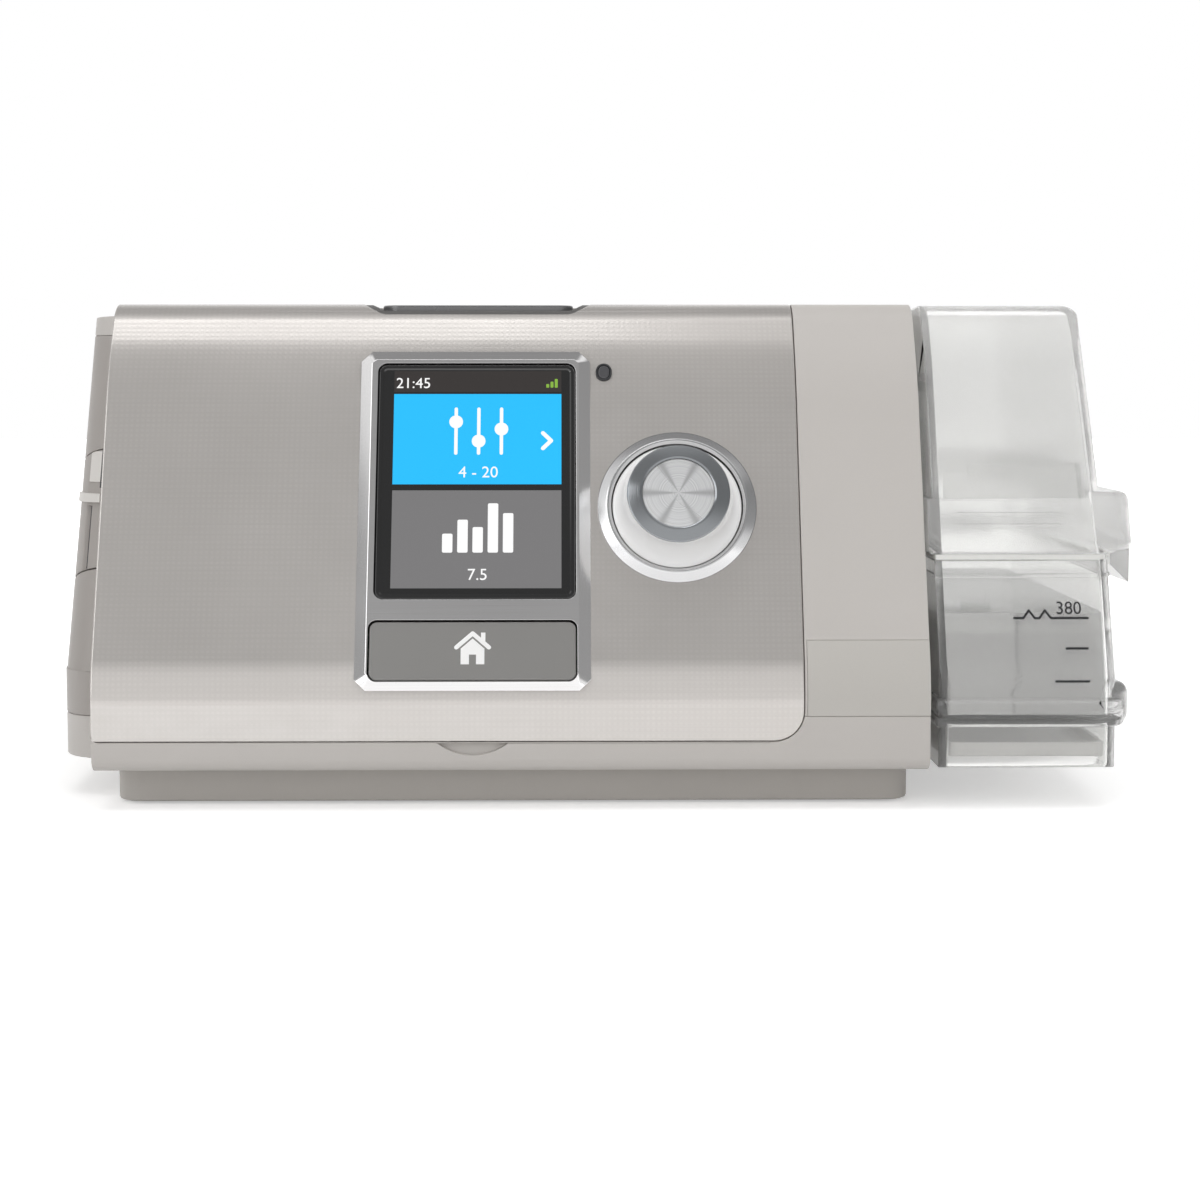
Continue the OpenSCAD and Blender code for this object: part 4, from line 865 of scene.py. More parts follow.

# %% Dial disc and crown: turned metal with its lines running round; on the disc, dark spokes in the colour are a painted reflection
SPUN, given, result = new_group("turned_lines_and_painted_spokes", [("Vector", Vector((0, 0, 0)))], ["Ring", "Painted_spokes"])
radius = vectors(SPUN, "LENGTH", vectors(SPUN, "MULTIPLY", (given, "Vector"), (1, 1, 0)))
rings = node(SPUN, "ShaderNodeTexNoise", noise_dimensions="1D")
for label, value in (("Scale", 3.5), ("Detail", 4.0), ("W", radius)):
    feed(SPUN, rings, label, value)
wire(SPUN, (rings, "Fac"), result, "Ring")
parts = axes_of(SPUN, (given, "Vector"))
angle = maths(SPUN, "ARCTAN2", (parts, "Y"), (parts, "X"))
# Six dark spokes round the centre: a painted reflection, as spun metal shows under light
beat = maths(SPUN, "ABSOLUTE", maths(SPUN, "COSINE", maths(SPUN, "MULTIPLY", angle, 3.0)))
sharp = maths(SPUN, "POWER", beat, 14.0)
wire(SPUN, maths(SPUN, "MULTIPLY", sharp, (rings, "Fac")), result, "Painted_spokes")


def dial_metal(name, colour, roughness, ring, painted_reflection, metallic):
    finish, tree, surface = blank(name, Metallic=metallic)
    centred = node(tree, "ShaderNodeMapping", vector_type="TEXTURE")
    centre = FACE @ Vector((DIAL_X * MM, (DIAL_Z - KNEE[1]) / math.cos(LEAN) * MM, 0))
    turned_by = (math.pi / 2 - LEAN, 0, 0)
    for label, value in (
        ("Vector", coords(tree)), ("Location", centre), ("Rotation", turned_by), ("Scale", (MM, MM, MM)),
    ):
        feed(tree, centred, label, value)
    spun = place_group(tree, SPUN, Vector=(centred, "Vector"))
    grain = grained(tree, surface, paint(*colour), 0.03, roughness, 0.02)
    # Painted reflection: the spokes darken the base colour of the disc
    dark = maths(tree, "MULTIPLY", (spun, "Painted_spokes"), painted_reflection)
    level = maths(tree, "SUBTRACT", spread(tree, (spun, "Ring"), ring, 1.0), dark)
    wire(tree, tinted(tree, (grain, "Colour"), level), surface, "Base Color")
    bump(tree, surface, (spun, "Ring"), 0.25, 0.02)
    return finish


FINISH["disc"] = dial_metal("turned_disc_painted_spokes", (232, 233, 234), 0.28, 0.55, 0.7, 0.55)
FINISH["crown"] = dial_metal("turned_crown", (146, 149, 152), 0.14, 0.10, 0.0, 0.9)


# %% Clear plastic and water
def clear(name, colour, haze, ior, through, dust=0.03, relief=0.05):
    """Clear plastic: through is the share of the light that passes, and the rest makes it milky."""
    finish, tree, surface = blank(
        name, Transmission_Weight=through, IOR=ior, Metallic=0.0, Coat_Weight=0.5, Coat_Roughness=0.06)
    grain = grained(tree, surface, paint(*colour), 0.02, haze, 0.0)
    dusty = place_group(tree, DUST, Colour=(grain, "Colour"), Amount=dust)
    wire(tree, (dusty, "Colour"), surface, "Base Color")
    bump(tree, surface, (grain, "Height"), relief, 0.005)
    return finish


FINISH["clear_lid"] = clear("clear_lid_plastic", (242, 242, 241), 0.24, 1.13, 0.76)
FINISH["clear_base"] = clear("clear_base_plastic", (237, 237, 236), 0.10, 1.13, 0.88)
FINISH["clear_foot"] = clear("milky_foot_plastic", (236, 235, 233), 0.40, 1.13, 0.45)
FINISH["water"] = clear("still_water", (204, 204, 203), 0.05, 1.12, 0.72, dust=0.0, relief=0.0)


# %% Boards, windings, foam and filter: the inner pieces
def inner(name, colour, second, kind, size, roughness, **fixed):
    """A finish whose second colour follows a pattern: traces on a board, wires in a coil, cells in foam."""
    finish, tree, surface = blank(name, **fixed)
    if kind == "cells":
        pattern = node(tree, "ShaderNodeTexVoronoi", feature="DISTANCE_TO_EDGE")
        mask = maths(tree, "MULTIPLY", (pattern, "Distance"), 2.5, clamp=True)
    elif kind == "bricks":
        pattern = node(tree, "ShaderNodeTexBrick")
        pattern.inputs["Mortar Size"].default_value = 0.06
        mask = maths(tree, "SUBTRACT", 1.0, (pattern, "Fac"))
    else:
        pattern = node(tree, "ShaderNodeTexWave", bands_direction="Z")
        pattern.inputs["Distortion"].default_value = 0.6
        mask = (pattern, "Fac")
    pattern.inputs["Scale"].default_value = 1 / size
    wire(tree, millimetres(tree), pattern, "Vector")
    grain = grained(tree, surface, mixed(tree, mask, second, colour), 0.08, roughness, 0.1)
    wire(tree, (grain, "Colour"), surface, "Base Color")
    bump(tree, surface, mask, 0.5, 0.1)
    return finish


for slot, name, colour, second, kind, size, roughness, fixed in (
    ("board", "green_board", (38, 92, 58), (96, 140, 92), "bricks", 9.0, 0.38, {"Coat_Weight": 0.4}),
    ("copper", "copper_windings", (186, 110, 66), (96, 48, 26), "waves", 2.4, 0.32, {"Metallic": 0.9}),
    ("foam", "grey_foam", (78, 82, 88), (38, 40, 44), "cells", 1.1, 0.95, {}),
    ("filter", "filter_fibre", (238, 236, 228), (200, 198, 188), "cells", 0.5, 0.95, {}),
    ("display", "display_back", (52, 54, 58), (84, 88, 94), "bricks", 14.0, 0.35, {"Metallic": 0.5}),
):
    FINISH[slot] = inner(name, paint(*colour), paint(*second), kind, size, roughness, **fixed)
FINISH["hot_plate"] = FINISH["steel"]
print(len(FINISH), "finishes in all")

# %% [markdown]
# ## Case shells
# The plinth, the three grey shells and the dark panel of the left end are mouldings of about 2.4 mm wall.
# They come from the construction with broken edges. The wider edges go to the plinth and the end, which
# look soft in the photograph.

# %% Shells, end panel, plinth
for name, source, width, finish in (
    ("plinth", "base_plinth", 0.7, "plinth"),
    ("lower_shell", "lower_housing", 0.35, "shell"),
    ("upper_shell", "upper_housing", 0.26, "shell"),
    ("rear_shell", "rear_housing", 0.35, "shell"),
    ("end_panel", "side_panel", 0.35, "end"),
    ("blank_plate", "label_plate", 0.2, "plate"),
):
    hand_over(dressed_copy(name, source, width), finish, "case", source)

# %% [markdown]
# ## Fascia
# On the real machine this is one thin metallic sheet that runs from under the knee over the brow. It
# could be cut from a copy too, but its long curve is the first thing that one sees, so it is sawn and
# rounded again with finer steps: an outer form, minus the same form set one sheet deeper, trimmed to the
# outline of the fascia.

# %% Fascia sheet
face = case_form("face_sheet", FASCIA_LEFT, FASCIA_RIGHT - 0.15, 0)
combine(face, case_form("hollow", FASCIA_LEFT - 3, FASCIA_RIGHT + 3, FASCIA_T))
keep = block("trim", (FASCIA_LEFT - 2, FRONT - 5, 15.95), (FASCIA_RIGHT - 0.15, 6.4, 130))
lower_right = lambda e: along_y(e) and middle(e).x > 0 and middle(e).z < 20
round_edges(keep, lower_right, 6.85, 12)
combine(face, keep, "INTERSECT")

# %% The start key's opening and the scoop for the finger: a flat floor, and ends that rise in a curve
START_W, START_L, START_Y = 46, 15, FRONT + 51.8
SCOOP_Z, SCOOP_FLOOR_W, SCOOP_TOP_W = (113.3, 118.5), 45, 65
SCOOP_TURN = 26.57


def start_opening():
    return plate("opening", START_W + 0.6, START_L + 0.6, 4.8, 100, 125, (SCREEN_X, START_Y))


def scoop_form(name, lift):
    half, low, high = SCOOP_FLOOR_W / 2, SCOOP_Z[0] + lift, SCOOP_Z[1] + lift
    form = block(name, (SCREEN_X - half, FRONT - 5, low), (SCREEN_X + half, FRONT + 60.8, high))
    widen, centre = (SCOOP_TOP_W / SCOOP_FLOOR_W, 1, 1), Vector((SCREEN_X, 0, 0)) * MM
    top = lambda f: middle(f).z > 118
    rework(form, "faces", top, bpy.ops.transform.resize, value=widen, center_override=centre)
    round_edges(form, lambda e: along_y(e) and middle(e).z < 114 + lift, 4, 6, SCOOP_TURN)
    return form


combine(face, start_opening())
combine(face, scoop_form("scoop", 0))
break_edges(face, 0.4)

# %% Openings for screen, sensor and dial: other pieces cover their edges, so these stay sharp
SCREEN_OPENING = (49.5, 78.6, 2)
combine(face, on_face(plate("opening", *SCREEN_OPENING, -9, 5)))
combine(face, on_face(plate("opening", 3.8, 4.4, 1.85, -9, 5), *SENSOR_AT))
combine(face, on_face(rod(17, 14, (0, 0, 0), vertices=128), DIAL_X, DIAL_Z))
hand_over(shade(face), "fascia", "case", "fascia")

# %% The lining of the scoop, with a hole for the start key; its dark grey is painted shade in the scoop
lining = combine(scoop_form("start_key_surround", 0), scoop_form("upper", 0.9))
combine(lining, case_form("skin", SCREEN_X - 40, SCREEN_X + 40, 0.15), "INTERSECT")
combine(lining, start_opening())
hand_over(shade(lining), "scoop", "case", slot="fascia")

# %% [markdown]
# ## Screen: frame, window and picture
# The frame is a plate with cut corners. Its bevels come from an inset that is lifted at the same time, so
# all four slopes meet in clean mitres. The window lies in it with a soft edge, and the picture is made of
# thin tiles on the glass, because the lit areas of a screen are seen right at its surface.

# %% Screen frame
FRAME_W, FRAME_L, FRAME_CORNER = 53.9, 83.0, 2.6
BEVEL_W, BEVEL_H = 2.7, 1.65
LENS_W, LENS_L, LENS_AT = 46.3, 58.1, (0.4, 8.8)
HOME_W, HOME_L, HOME_Y, KEY_GAP = 47.1, 13.8, -32.4, 0.3
bezel = block("screen_frame_bevelled", (-FRAME_W / 2, -FRAME_L / 2, -0.2), (FRAME_W / 2, FRAME_L / 2, 0.05))
round_edges(bezel, along_z, FRAME_CORNER, 1)
rework(
    bezel, "faces", lambda f: f.normal.z > 0.9, bpy.ops.mesh.inset, thickness=BEVEL_W * MM,
    depth=BEVEL_H * MM, use_even_offset=True)
combine(bezel, plate("flange", *SCREEN_OPENING, -4.8, 0), "UNION")
combine(bezel, plate("seat", LENS_W + 0.1, LENS_L + 0.1, 2.25, -0.4, 3, LENS_AT))
combine(bezel, plate("hole", LENS_W - 1.9, LENS_L - 2, 1.5, -6, 3, LENS_AT))
combine(bezel, plate("hole", HOME_W + 2 * KEY_GAP, HOME_L + 2 * KEY_GAP, 2, -6, 3, (0, HOME_Y)))
soften(bezel, 0.12, 2, 24)
hand_over(on_face(bezel), "frame", "case", "screen_frame")

# %% Screen window
window = plate("screen_window", LENS_W, LENS_L, 2.2, -0.38, 1.1, LENS_AT, 10)
break_edges(window, 0.5, 4)
pick(window, "faces", lambda f: f.normal.z > 0.99 and middle(f).z > 1)
bpy.ops.mesh.inset(thickness=0.55 * MM, depth=0, use_even_offset=True)
bpy.ops.mesh.inset(thickness=0.35 * MM, depth=-0.22 * MM, use_even_offset=True)
leave_edit()
shade(window)
hand_over(on_face(window), "window", "case", "screen_lens")


# %% Helpers for flat signs: tiles, strokes and numbers
def join(name, *parts):
    put_down()
    for part in parts:
        part.select_set(True)
    bpy.context.view_layer.objects.active = parts[0]
    if len(parts) > 1:
        bpy.ops.object.join()
    parts[0].name = parts[0].data.name = name
    return parts[0]


def number(name, text, size, x, y, z0, z1, align="LEFT"):
    """A plain number as a flat solid: written as a text curve, then made a mesh."""
    put_down()
    bpy.ops.object.text_add()
    sign = bpy.context.object
    sign.name = name
    sign.data.body, sign.data.size, sign.data.align_x = text, size * MM, align
    sign.data.extrude = (z1 - z0) / 2 * MM
    sign.data.resolution_u = 4
    bpy.ops.object.convert(target="MESH")
    return moved(bpy.context.object, Matrix.Translation(Vector((x, y, (z0 + z1) / 2)) * MM))


def stroke(a, b, width, z0, z1):
    """A straight line of a sign, from a to b."""
    a, b = Vector(a), Vector(b)
    length = (b - a).length
    bar = plate("stroke", length + width, width, width * 0.49, z0, z1, (0, 0), 4)
    turn = Matrix.Rotation(math.atan2(b.y - a.y, b.x - a.x), 4, "Z")
    return moved(bar, Matrix.Translation(((a + b) / 2 * MM).to_3d()) @ turn)


# %% Picture on the screen: header, a blue tile, a grey tile
GLASS_TOP, PRINT = 0.88, 0.03
for name, y0, y1, finish in (
    ("picture_header", 30.9, 36.2, "picture_dark"),
    ("picture_tile_blue", 7.9, 30.4, "picture_blue"),
    ("picture_tile_grey", -17.4, 6.4, "picture_grey"),
):
    tile = block(name, (-19.0, y0, GLASS_TOP), (20.2, y1, GLASS_TOP + PRINT))
    hand_over(on_face(tile), finish, "case", slot="window")


# %% Marks on the tiles: three sliders, an arrow, bars, plain numbers
low, high = GLASS_TOP + PRINT, GLASS_TOP + 2 * PRINT


def bar_row(start, step, width, heights, corner, segments):
    """Upright bars side by side; start is the foot of the first one."""
    feet = [start[0] + step * i for i in range(len(heights))]
    return [
        plate("bar", width, h, corner, low, high, (x, start[1] + h / 2), segments)
        for x, h in zip(feet, heights)
    ]


sliders = []
for x, knob in ((-4.4, 23.4), (0.9, 18.6), (6.2, 21.6)):
    sliders.append(stroke((x, 15.6), (x, 26.6), 0.8, low, high))
    sliders.append(plate("stop", 3.2, 3.2, 1.55, low, high, (x, knob), 6))
chevron = [stroke((15.9, y), (17.8, 18.7), 0.95, low, high) for y in (20.6, 16.8)]
bars = bar_row((-6.1, -8.8), 3.5, 2.4, (4.6, 8.0, 6.2, 12.0, 9.6), 0.35, 3)
clock = number("clock", "21:45", 3.7, -18.6, 31.9, low, high)
range_number = number("range", "4 - 20", 3.9, 0.9, 9.6, low, high, "CENTER")
report_number = number("report", "7.5", 3.9, 0.9, -15.4, low, high, "CENTER")
white = join("picture_marks", *sliders, *chevron, *bars, clock, range_number, report_number)
hand_over(on_face(white), "picture_white", "case", slot="window")
green = join("picture_signal", *bar_row((17.0, 32.0), 1.0, 0.7, (0.9, 1.5, 2.2), 0.15, 2))
hand_over(on_face(green), "picture_green", "case", slot="window")

# %% [markdown]
# ## Keys and the light sensor
# The home key fills the lower window of the frame. It is a soft-edged plate with a small printed house.
# The start key lies in the scoop of the top edge.

# %% Home key, with the foot that presses its switch
def stem(x, y, z0, z1):
    """The round foot of a key, which presses its switch."""
    return rod(2, z1 - z0, Vector((x, y, (z0 + z1) / 2)) * MM, vertices=32)


KEY_TOP = 1.3
key = plate("home_key", HOME_W, HOME_L, 1.8, -1.6, KEY_TOP, (0, HOME_Y), 10)
soften(key, 0.45, 4)
key = join("home_key", key, stem(0, HOME_Y, -7.0, -1.5))
hand_over(on_face(key), "button", "home_button", "home_button")

# %% A printed house on the home key
low, high = KEY_TOP, KEY_TOP + PRINT
walls = block("home_sign", (-2.7, HOME_Y - 3.2, low), (2.7, HOME_Y + 4, high))
for way in (-1, 1):
    slice_off(walls, (0, HOME_Y + 2.9, low), (0.665 * way, 0.746, 0))
combine(walls, block("doorway", (-0.8, HOME_Y - 4, 0.5), (0.8, HOME_Y - 0.9, 2)))
roof = [stroke((3.7 * way, HOME_Y + 0.8), (0, HOME_Y + 4.1), 1.0, low, high) for way in (-1, 1)]
combine(roof[0], roof[1], "UNION")
combine(roof[0], block("chimney", (1.9, HOME_Y + 2.0, low), (2.9, HOME_Y + 4.3, high)), "UNION")
house = join("home_sign", walls, roof[0])
hand_over(on_face(house), "sign", "home_button", slot="button")

# %% Start key and light sensor
start = plate("start_key", START_W, START_L, 4.5, 110.1, 115.6, (SCREEN_X, START_Y), 12)
soften(start, 0.45, 4)
start = join("start_key", start, stem(SCREEN_X, START_Y, 106.5, 110.2))
hand_over(start, "key", "start_button", "start_button")

tube = plate("sensor_ring", 3.7, 4.3, 1.8, -6, 0.05, (0, 0), 10)
combine(tube, plate("bore", 2.8, 3.4, 1.35, -0.5, 1, (0, 0), 10))
tube = on_face(soften(tube, 0.15), *SENSOR_AT)
hand_over(tube, "black_plastic", "case", "light_sensor")
eye = plate("sensor_eye", 2.7, 3.3, 1.3, -0.6, -0.05, (0, 0), 10)
hand_over(on_face(soften(eye, 0.3), *SENSOR_AT), "eye", "case", slot="black_plastic")

# %% [markdown]
# ## The dial
# Four turned pieces: a thin fixed ring on the fascia, the knob with its hollow flare, the dark crown
# ring, and the spun disc inside it. A lathe outline is a list of radii and heights.

# %% Dial pieces
def flare(foot_r, top_r, z0, z1, steps=14):
    """The hollow curve of the knob, from its foot to its top."""
    points = []
    for i in range(steps + 1):
        a = math.pi / 2 * i / steps
        points.append((foot_r - (foot_r - top_r) * math.sin(a), z0 + (z1 - z0) * (1 - math.cos(a))))
    return points


DIAL_TOP = 9.2
ring = turned("dial_ring_turned", [
    (15.3, -2.4), (17, -2.4), (17, 0.02), (18.5, 0.02),
    (18.45, 0.15), (16.35, 1.42), (15.8, 1.45), (15.3, 1.0),
])
knob = turned("dial_knob_turned", [
    (3, 1), (13.4, 1), (13.4, -1), (15, -1), *flare(15, 11.8, 0.6, 9.0), (11.8, DIAL_TOP), (3, DIAL_TOP),
])
crown = turned("dial_crown_turned", [
    (8.3, DIAL_TOP), (11.8, DIAL_TOP), (11.8, 9.45), (11.5, 9.62), (8.8, 10.2), (8.3, 10.0),
])
disc = turned("dial_disc_turned", [(0, DIAL_TOP), (8.28, DIAL_TOP), (8.28, 9.75), (7.9, 9.8), (0, 9.8)])
for piece, width, finish, body, source in (
    (ring, 0.22, "chrome", "case", "dial_ring"), (knob, 0.15, "knob", "dial", "dial_knob"),
    (crown, 0.15, "crown", "dial", "dial_crown"), (disc, 0, "disc", "dial", "dial_disc"),
):
    if width:
        soften(piece, width, 2, 28)
    else:
        smooth(piece, 28)
    role = "chrome" if finish == "crown" else finish
    hand_over(on_face(piece, DIAL_X, DIAL_Z), finish, body, source, slot=role)

# %% [markdown]
# ## The water tub
# The tub is two clear mouldings with 2 mm walls. Each is made from the same outer form: the profile of
# the case, cut by three blocks with one round edge each, which round the upright corner, the leaning
# corner and the top corner at the right. The right side leans in a little, as a moulding must to leave
# its tool. The lid has the thumb lip, the hook and two ports; the base has a hollow cradle below its
# floor.

# %% Tub forms
JOINT_Z, BASE_TOP, CRADLE_TOP, WATER_Z = 57.6, 56.4, 21.5, 44.2
LID_LEAN, TUB_WALL = 0.056, 2
SIDE_CORNER, TOP_CORNER, LEAST_CORNER = 5.5, 3.4, 0.8


def lean_in(piece, test, shift):
    """Moves the points of a block's right side that pass a test sideways, in millimetres."""
    push(piece, "verts", lambda v: v.co.x > 100 * MM and test(v.co / MM), (shift, 0, 0))


def right_top_edge(edge):
    return along_y(edge) and middle(edge).x > 100 and middle(edge).z > -1


def tub_shape(name, inset, grow=0.0, lean=0.0):
    """The outer part of the tub, drawn in by a distance.

    grow lets its right side stand out further, and lean tilts that side in above the joint.
    """
    slant = lambda z: lean * (JOINT_Z - z)
    side = max(SIDE_CORNER - inset + grow, LEAST_CORNER)
    left, right = TUB_LEFT + inset, TUB_SIDE - inset + grow
    shape = case_form(name, left, right + 3, inset + 0.3)
    plan = block("plan", (left, FRONT + 0.3 + inset, -10), (right, TUB_BACK - inset, 130))
    round_edges(plan, lambda e: along_z(e) and middle(e).x > 100, side, 14)
    round_edges(plan, lambda e: along_z(e) and middle(e).x < 100, 2, 5)
    lean_in(plan, lambda p: p.z < 0, slant(-10))
    lean_in(plan, lambda p: p.z > 100, slant(130))
    combine(shape, plan, "INTERSECT")
    tilted = block("tilted", (left - 1, -60, -170), (right, 150, 0))
    round_edges(tilted, right_top_edge, side, 14)
    lean_in(tilted, lambda p: p.y < 0, slant(-26))
    lean_in(tilted, lambda p: p.y > 100, slant(168))
    combine(shape, moved(tilted, FACE @ Matrix.Translation((0, 0, -(inset + 0.3) * MM))), "INTERSECT")
    cap = block("cap", (left - 1, -90, -130), (right, 140, 0))
    round_edges(cap, right_top_edge, max(TOP_CORNER - inset + grow, LEAST_CORNER), 12)
    lean_in(cap, lambda p: p.z < -100, slant(-14))
    lean_in(cap, lambda p: p.z > -30, slant(116))
    top = Matrix.Translation(Vector((0, BROW[0], BROW[1] - inset - 0.3)) * MM)
    return combine(shape, moved(cap, top @ Matrix.Rotation(-TOP_SLOPE, 4, "X")), "INTERSECT")


# %% Tub forms: with the part in the machine, between two heights, hollow, as a band
def tub_body(name, inset, lean=0.0):
    """The whole tub, with the part that goes into the machine, drawn in by a distance."""
    low, high = (1 + inset, -31.5 + inset, 15.9 + inset), (TUB_LEFT + 4, 57.5 - inset, 96.9 - inset)
    return combine(tub_shape(name, inset, 0.0, lean), block("inner", low, high), "UNION")


def layer(z0, z1):
    """A block that spans the tub and its place in the machine, between two heights."""
    return block("layer", (-10, FRONT - 5, z0), (TUB_SIDE + 10, BACK + 5, z1))


def between(piece, z0, z1):
    """Keeps the part of a piece between two heights."""
    return combine(piece, layer(z0, z1), "INTERSECT")


def cradle_block(top):
    """What stays free under the tub's floor."""
    return block("cradle", (TUB_LEFT + TUB_WALL, FRONT - 5, 0), (TUB_SIDE + 5, BACK, top))


def tub_hollow(name, lean=0.0):
    return combine(tub_body(name, TUB_WALL, lean), cradle_block(CRADLE_TOP))


def at_height(edge, z):
    return all(abs(v.co.z / MM - z) < 0.01 for v in edge.verts)


def tub_band(name, z0, z1, soft, proud=0.9, grow=1.4, lean=0.0):
    """A band round the tub between two heights, with soft edges."""
    band = between(tub_shape(name, -proud, grow, lean), z0, z1)
    round_edges(band, lambda e: at_height(e, z0) or at_height(e, z1), soft, 5)
    return band


# %% [markdown]
# The outer trims, such as bands, lip and hook, are made on their own and joined to the tub last, when its
# edges are already broken. A core cut out of each trim keeps it from filling the tub.

# %% Tub details: hinge knuckles, lugs and trims
ACROSS = (0, math.pi / 2, 0)
HINGE_Y, HINGE_Z = 70, 57


def knuckle(x0, x1, side):
    """One knuckle of the hinge, with the tab that holds it; side is 1 for the lid and -1 for the base."""
    barrel = rod(2.8, x1 - x0 - 0.2, ((x0 + x1) / 2 * MM, HINGE_Y * MM, HINGE_Z * MM), ACROSS)
    z = (JOINT_Z, 59.2) if side > 0 else (54.2, BASE_TOP)
    return combine(barrel, block("tab", (x0 + 0.1, 64, z[0]), (x1 - 0.1, HINGE_Y, z[1])), "UNION")


def lug(name, low, high, corner, soft):
    """A block at the right side of the tub, cut along the leaning face, with round free edges."""
    piece = block(name, low, high)
    slice_off(piece, (0, KNEE[0] - 0.6, KNEE[1]), (0, -math.cos(LEAN), math.sin(LEAN)))
    outer = lambda e: all(v.co.x > (high[0] - 0.1) * MM for v in e.verts) and not along_y(e)
    round_edges(piece, outer, corner, 10)
    for level in (low[2], high[2]):
        round_edges(piece, lambda e: at_height(e, level) and middle(e).x > low[0] + 0.1, soft, 6)
    return piece


def fuse(piece, other, how="DIFFERENCE"):
    """As combine, with the solver that copes better with surfaces that nearly touch."""
    return combine(piece, other, how, "MANIFOLD")


def trim(piece, part, lean=0.0):
    """Adds an outer part to a tub wall without filling the tub."""
    fuse(part, tub_shape("core", 1, 0.0, lean))
    return fuse(piece, part, "UNION")


# %% Tub base: the rib round its foot has a groove, and a lug at the right
base = tub_body("tub_base_clear", 0)
fuse(base, layer(BASE_TOP, 140))
fuse(base, knuckle(92, 108, -1), "UNION")
fuse(base, tub_hollow("hollow"))
fuse(base, block("warm_opening", (8, -24, 0), (72, 50, 17.4)))
under = combine(tub_shape("under", TUB_WALL), layer(19.5, 140))
push(under, "faces", lambda f: f.normal.z < -0.9, (0, 0, -4))
fuse(base, under)
break_edges(base, 0.4, 3)
for part in (
    tub_band("band", 18.9, 21.2, 0.9), tub_band("band", 21.8, 25.6, 1.1),
    tub_band("ridge", 52.4, 53.3, 0.2, 0.35, 0.0), lug("lug", (116, -71.5, 18.9), (124.6, 45, 28.9), 5, 2.6),
):
    trim(base, part)
hand_over(shade(base), "clear_base", "tub", "tub_base", slot="clear")

# %% Tub lid: band with two grip ribs, thumb lip, hook
lid = tub_body("tub_lid_clear", 0, LID_LEAN)
fuse(lid, layer(0, JOINT_Z))
for span in ((84, 92), (108, 116)):
    fuse(lid, knuckle(*span, 1), "UNION")
fuse(lid, tub_hollow("hollow", LID_LEAN))
for y in (-20, 38):
    fuse(lid, rod(8.5, 8, (0, y * MM, 0.068), ACROSS, 64))
break_edges(lid, 0.5, 3)
hook = block("hook", (122.3, -57, 50.2), (126.8, 40, 59))
slice_off(hook, (126.8, 0, 50.6), (-0.69, 0, -0.72))
break_edges(hook, 0.4)
grips = [on_face(plate("grip", 24, 1.0, 0.45, 0, 1.25), 98, z) for z in (63.7, 66.3)]
for part in (
    tub_band("band", JOINT_Z, 70.4, 0.7, 1.2, 1.1, LID_LEAN), *grips,
    lug("lip", (117, -66, 58.2), (127.5, 48, 71.8), 6, 2.2), hook,
):
    trim(lid, part, LID_LEAN)
hand_over(shade(lid), "clear_lid", "tub", "tub_lid", slot="clear")

# %% Inside the tub: an air guide under the lid, a milky foot, the seal, and water up to 44 mm
guide = between(tub_shape("tub_air_guide", 3.6, 0.0, LID_LEAN), 69.5, 78)
fuse(guide, tub_shape("core", 4.8, 0.0, LID_LEAN))
fuse(guide, block("way_in", (70, -50, 60), (90, 60, 90)))
hand_over(soften(guide, 0.3, 2), "clear_lid", "tub", slot="clear")

foot = between(tub_shape("tub_foot", 2.5), 9.8, 15.2)
fuse(foot, tub_shape("core", 3.7))
hand_over(soften(foot, 0.2, 2), "clear_foot", "tub", slot="clear")

seal = between(tub_body("tub_seal_ring", 0.4), BASE_TOP, JOINT_Z)
fuse(seal, tub_body("core", 1.8))
hand_over(seal, "gasket", "tub", "tub_seal")

water = between(tub_body("water", TUB_WALL + 0.1), 5, WATER_Z)
fuse(water, cradle_block(CRADLE_TOP + 0.1))
hand_over(smooth(water, 30), "water", "tub", slot="clear")

# %% Marks on the tub: a fill line with two waves, a plain number and two level ticks
LINE_Z, CREST_Z = 43.4, 45.1
points = [(98.2, LINE_Z)]
for x in (100.3, 104.0):
    points += [(x, LINE_Z), (x + 1.3, CREST_Z), (x + 2.6, LINE_Z)]
lines = list(zip(points, points[1:] + [(115.0, LINE_Z)]))
lines += [((109.8, 36.7), (114.6, 36.7)), ((107.1, 29.4), (114.6, 29.4))]
marks = [stroke(a, b, 0.5, -10, 10) for a, b in lines]
pattern = marks[0]
for mark in marks[1:] + [number("number", "380", 4.0, 107.8, 44.3, -10, 10)]:
    combine(pattern, mark, "UNION")
moved(pattern, Matrix.Translation((0, FRONT * MM, 0)) @ Matrix.Rotation(math.pi / 2, 4, "X"))
skin = case_form("tub_marks", TUB_LEFT + 3, TUB_SIDE - 5.8, 0.2)
combine(skin, case_form("core", TUB_LEFT, TUB_SIDE, 0.3))
hand_over(combine(skin, pattern, "INTERSECT"), "mark", "tub", slot="clear")

# %% [markdown]
# ## Doors, rear fittings, feet and the bay
# These pieces come from the construction with broken edges. Each rides on its own body, so the doors and
# the plug clip open with their finishes on.

# %% Card door: its own surface moved in or out, and blocks that follow its leaning edge
DOOR_FRONT, DOOR_FOOT = -42, 53.5


def door_moved(name, shift):
    """The door's solid moved outwards (below zero) or inwards, to make things that follow its surface."""
    return moved(dressed_copy(name, "card_door", 0), Matrix.Translation((shift * MM, shift * MM, 0)))


def leaning_block(name, d0, d1, z0, z1):
    """A block between two distances behind the door's front edge, which leans as the face does."""
    piece = block(name, (-130, DOOR_FRONT + d0, z0), (-110, DOOR_FRONT + d1, z1))
    slope = math.tan(LEAN)
    push(piece, "verts", lambda v: v.co.z > (z0 + z1) / 2 * MM, (0, (z1 - z0) * slope, 0))
    return moved(piece, Matrix.Translation((0, (z0 - DOOR_FOOT) * slope * MM, 0)))
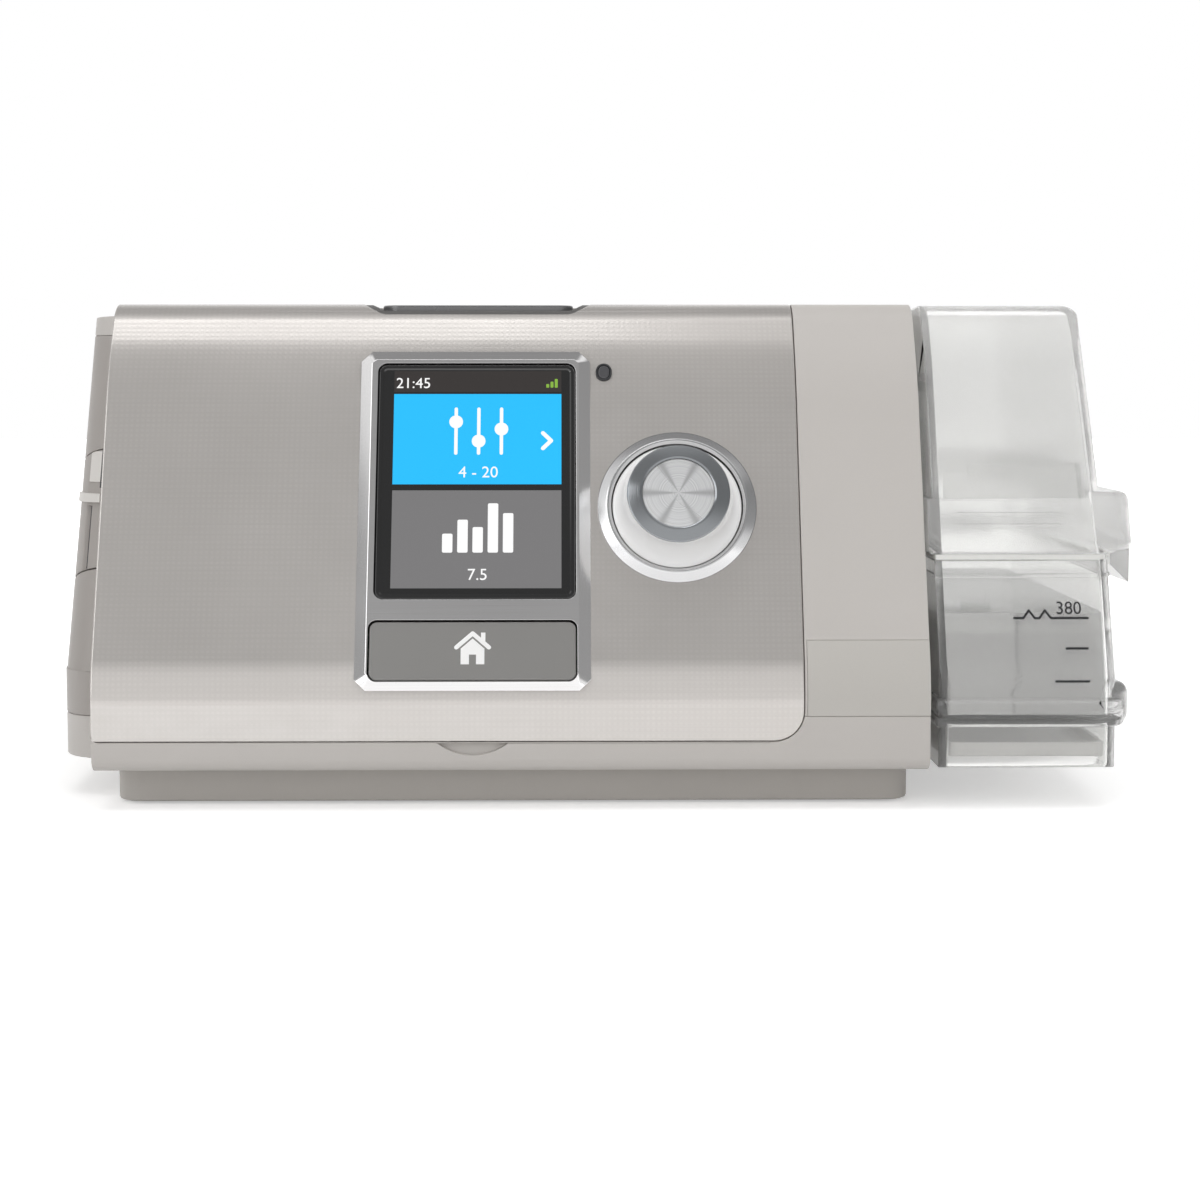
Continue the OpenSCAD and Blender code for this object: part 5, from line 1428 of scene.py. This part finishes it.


# %% Card door: a pocket for the finger, a dark slot in it that is painted shade, a pale edge strip with a dark strip beside it that is a painted shadow, and a tab
door = dressed_copy("card_door_soft", "card_door", 0)
pocket = leaning_block("pocket", 1.8, 3.3, 52.6, 67.6)
combine(pocket, door_moved("core", 0.8))
combine(door, pocket)
soften(door, 0.2)
hand_over(door, "end", "card_door", "card_door")
for name, shift, d0, d1, z0, z1, finish in (
    # A dark sheet in the pocket: painted shade
    ("card_door_slot_painted_shade", 0.45, 1.9, 3.2, 52.8, 67.4, "black_plastic"),
    # A dark strip beside the edge strip: a painted shadow
    ("card_door_gap_painted_shadow", -0.10, -1.0, 0.5, 71.8, 81.2, "black_plastic"),
    ("card_door_edge", -0.20, 0.5, 2.8, 73.2, 80.5, "tab"),
    ("card_door_tab", -0.55, -1.5, 10.8, 68.4, 70.5, "tab"),
):
    strip = combine(door_moved(name, shift), leaning_block("span", d0, d1, z0, z1), "INTERSECT")
    hand_over(soften(strip, 0.1, 2), finish, "card_door", slot="end")

# %% Smaller pieces
for name, source, width, finish, body in (
    ("adapter_door_soft", "adapter_door", 0.3, "end", "adapter_door"),
    ("filter_door_soft", "filter_door", 0.4, "vent", "filter_door"),
    ("plug_clip_soft", "plug_clip", 0.2, "black_plastic", "plug_clip"),
    ("power_inlet_soft", "power_inlet", 0.25, "black_plastic", "case"),
    ("outlet_elbow_soft", "outlet_elbow", 0.3, "port", "case"),
    ("tub_bay_soft", "tub_bay", 0.3, "bay", "case"),
    ("feet_soft", "rubber_feet", 0.4, "feet", "case"),
    ("screws_soft", "case_screws", 0.12, "steel", "case"),
):
    hand_over(dressed_copy(name, source, width), finish, body, source)

# %% [markdown]
# ## Finishes for the pieces of the construction
# Boards, blower, motor and sensors are hidden inside, but a door or the pulled-out tub shows some of
# them, and a scene may cut the machine open. They keep the construction's mesh and get their materials
# here.

# %% Inner pieces
INNER = {
    "lcd_module": "display", "display_board": "board", "button_board": "board", "main_board": "board",
    "home_switch": "switch", "start_switch": "switch", "encoder_body": "black_plastic",
    "encoder_plunger": "plunger", "encoder_shaft": "steel",
    "blower_lower": "blower", "blower_upper": "blower", "blower_mounts": "soft_mount", "motor_can": "steel",
    "motor_stator": "copper", "motor_bearings": "steel", "motor_shaft": "steel", "rotor_magnet": "magnet",
    "impeller": "impeller", "inlet_muffler": "foam", "air_filter": "filter", "flow_sensor": "sensor",
    "blower_duct": "blower", "bay_seals": "seal", "heater_plate": "hot_plate", "tub_heat_plate": "steel",
    "tub_hinge_pin": "steel", "card_reader": "black_plastic", "adapter_port": "black_plastic",
}
for source, finish in INNER.items():
    coat(NODES[source], finish)
print(len(INNER), "inner pieces")
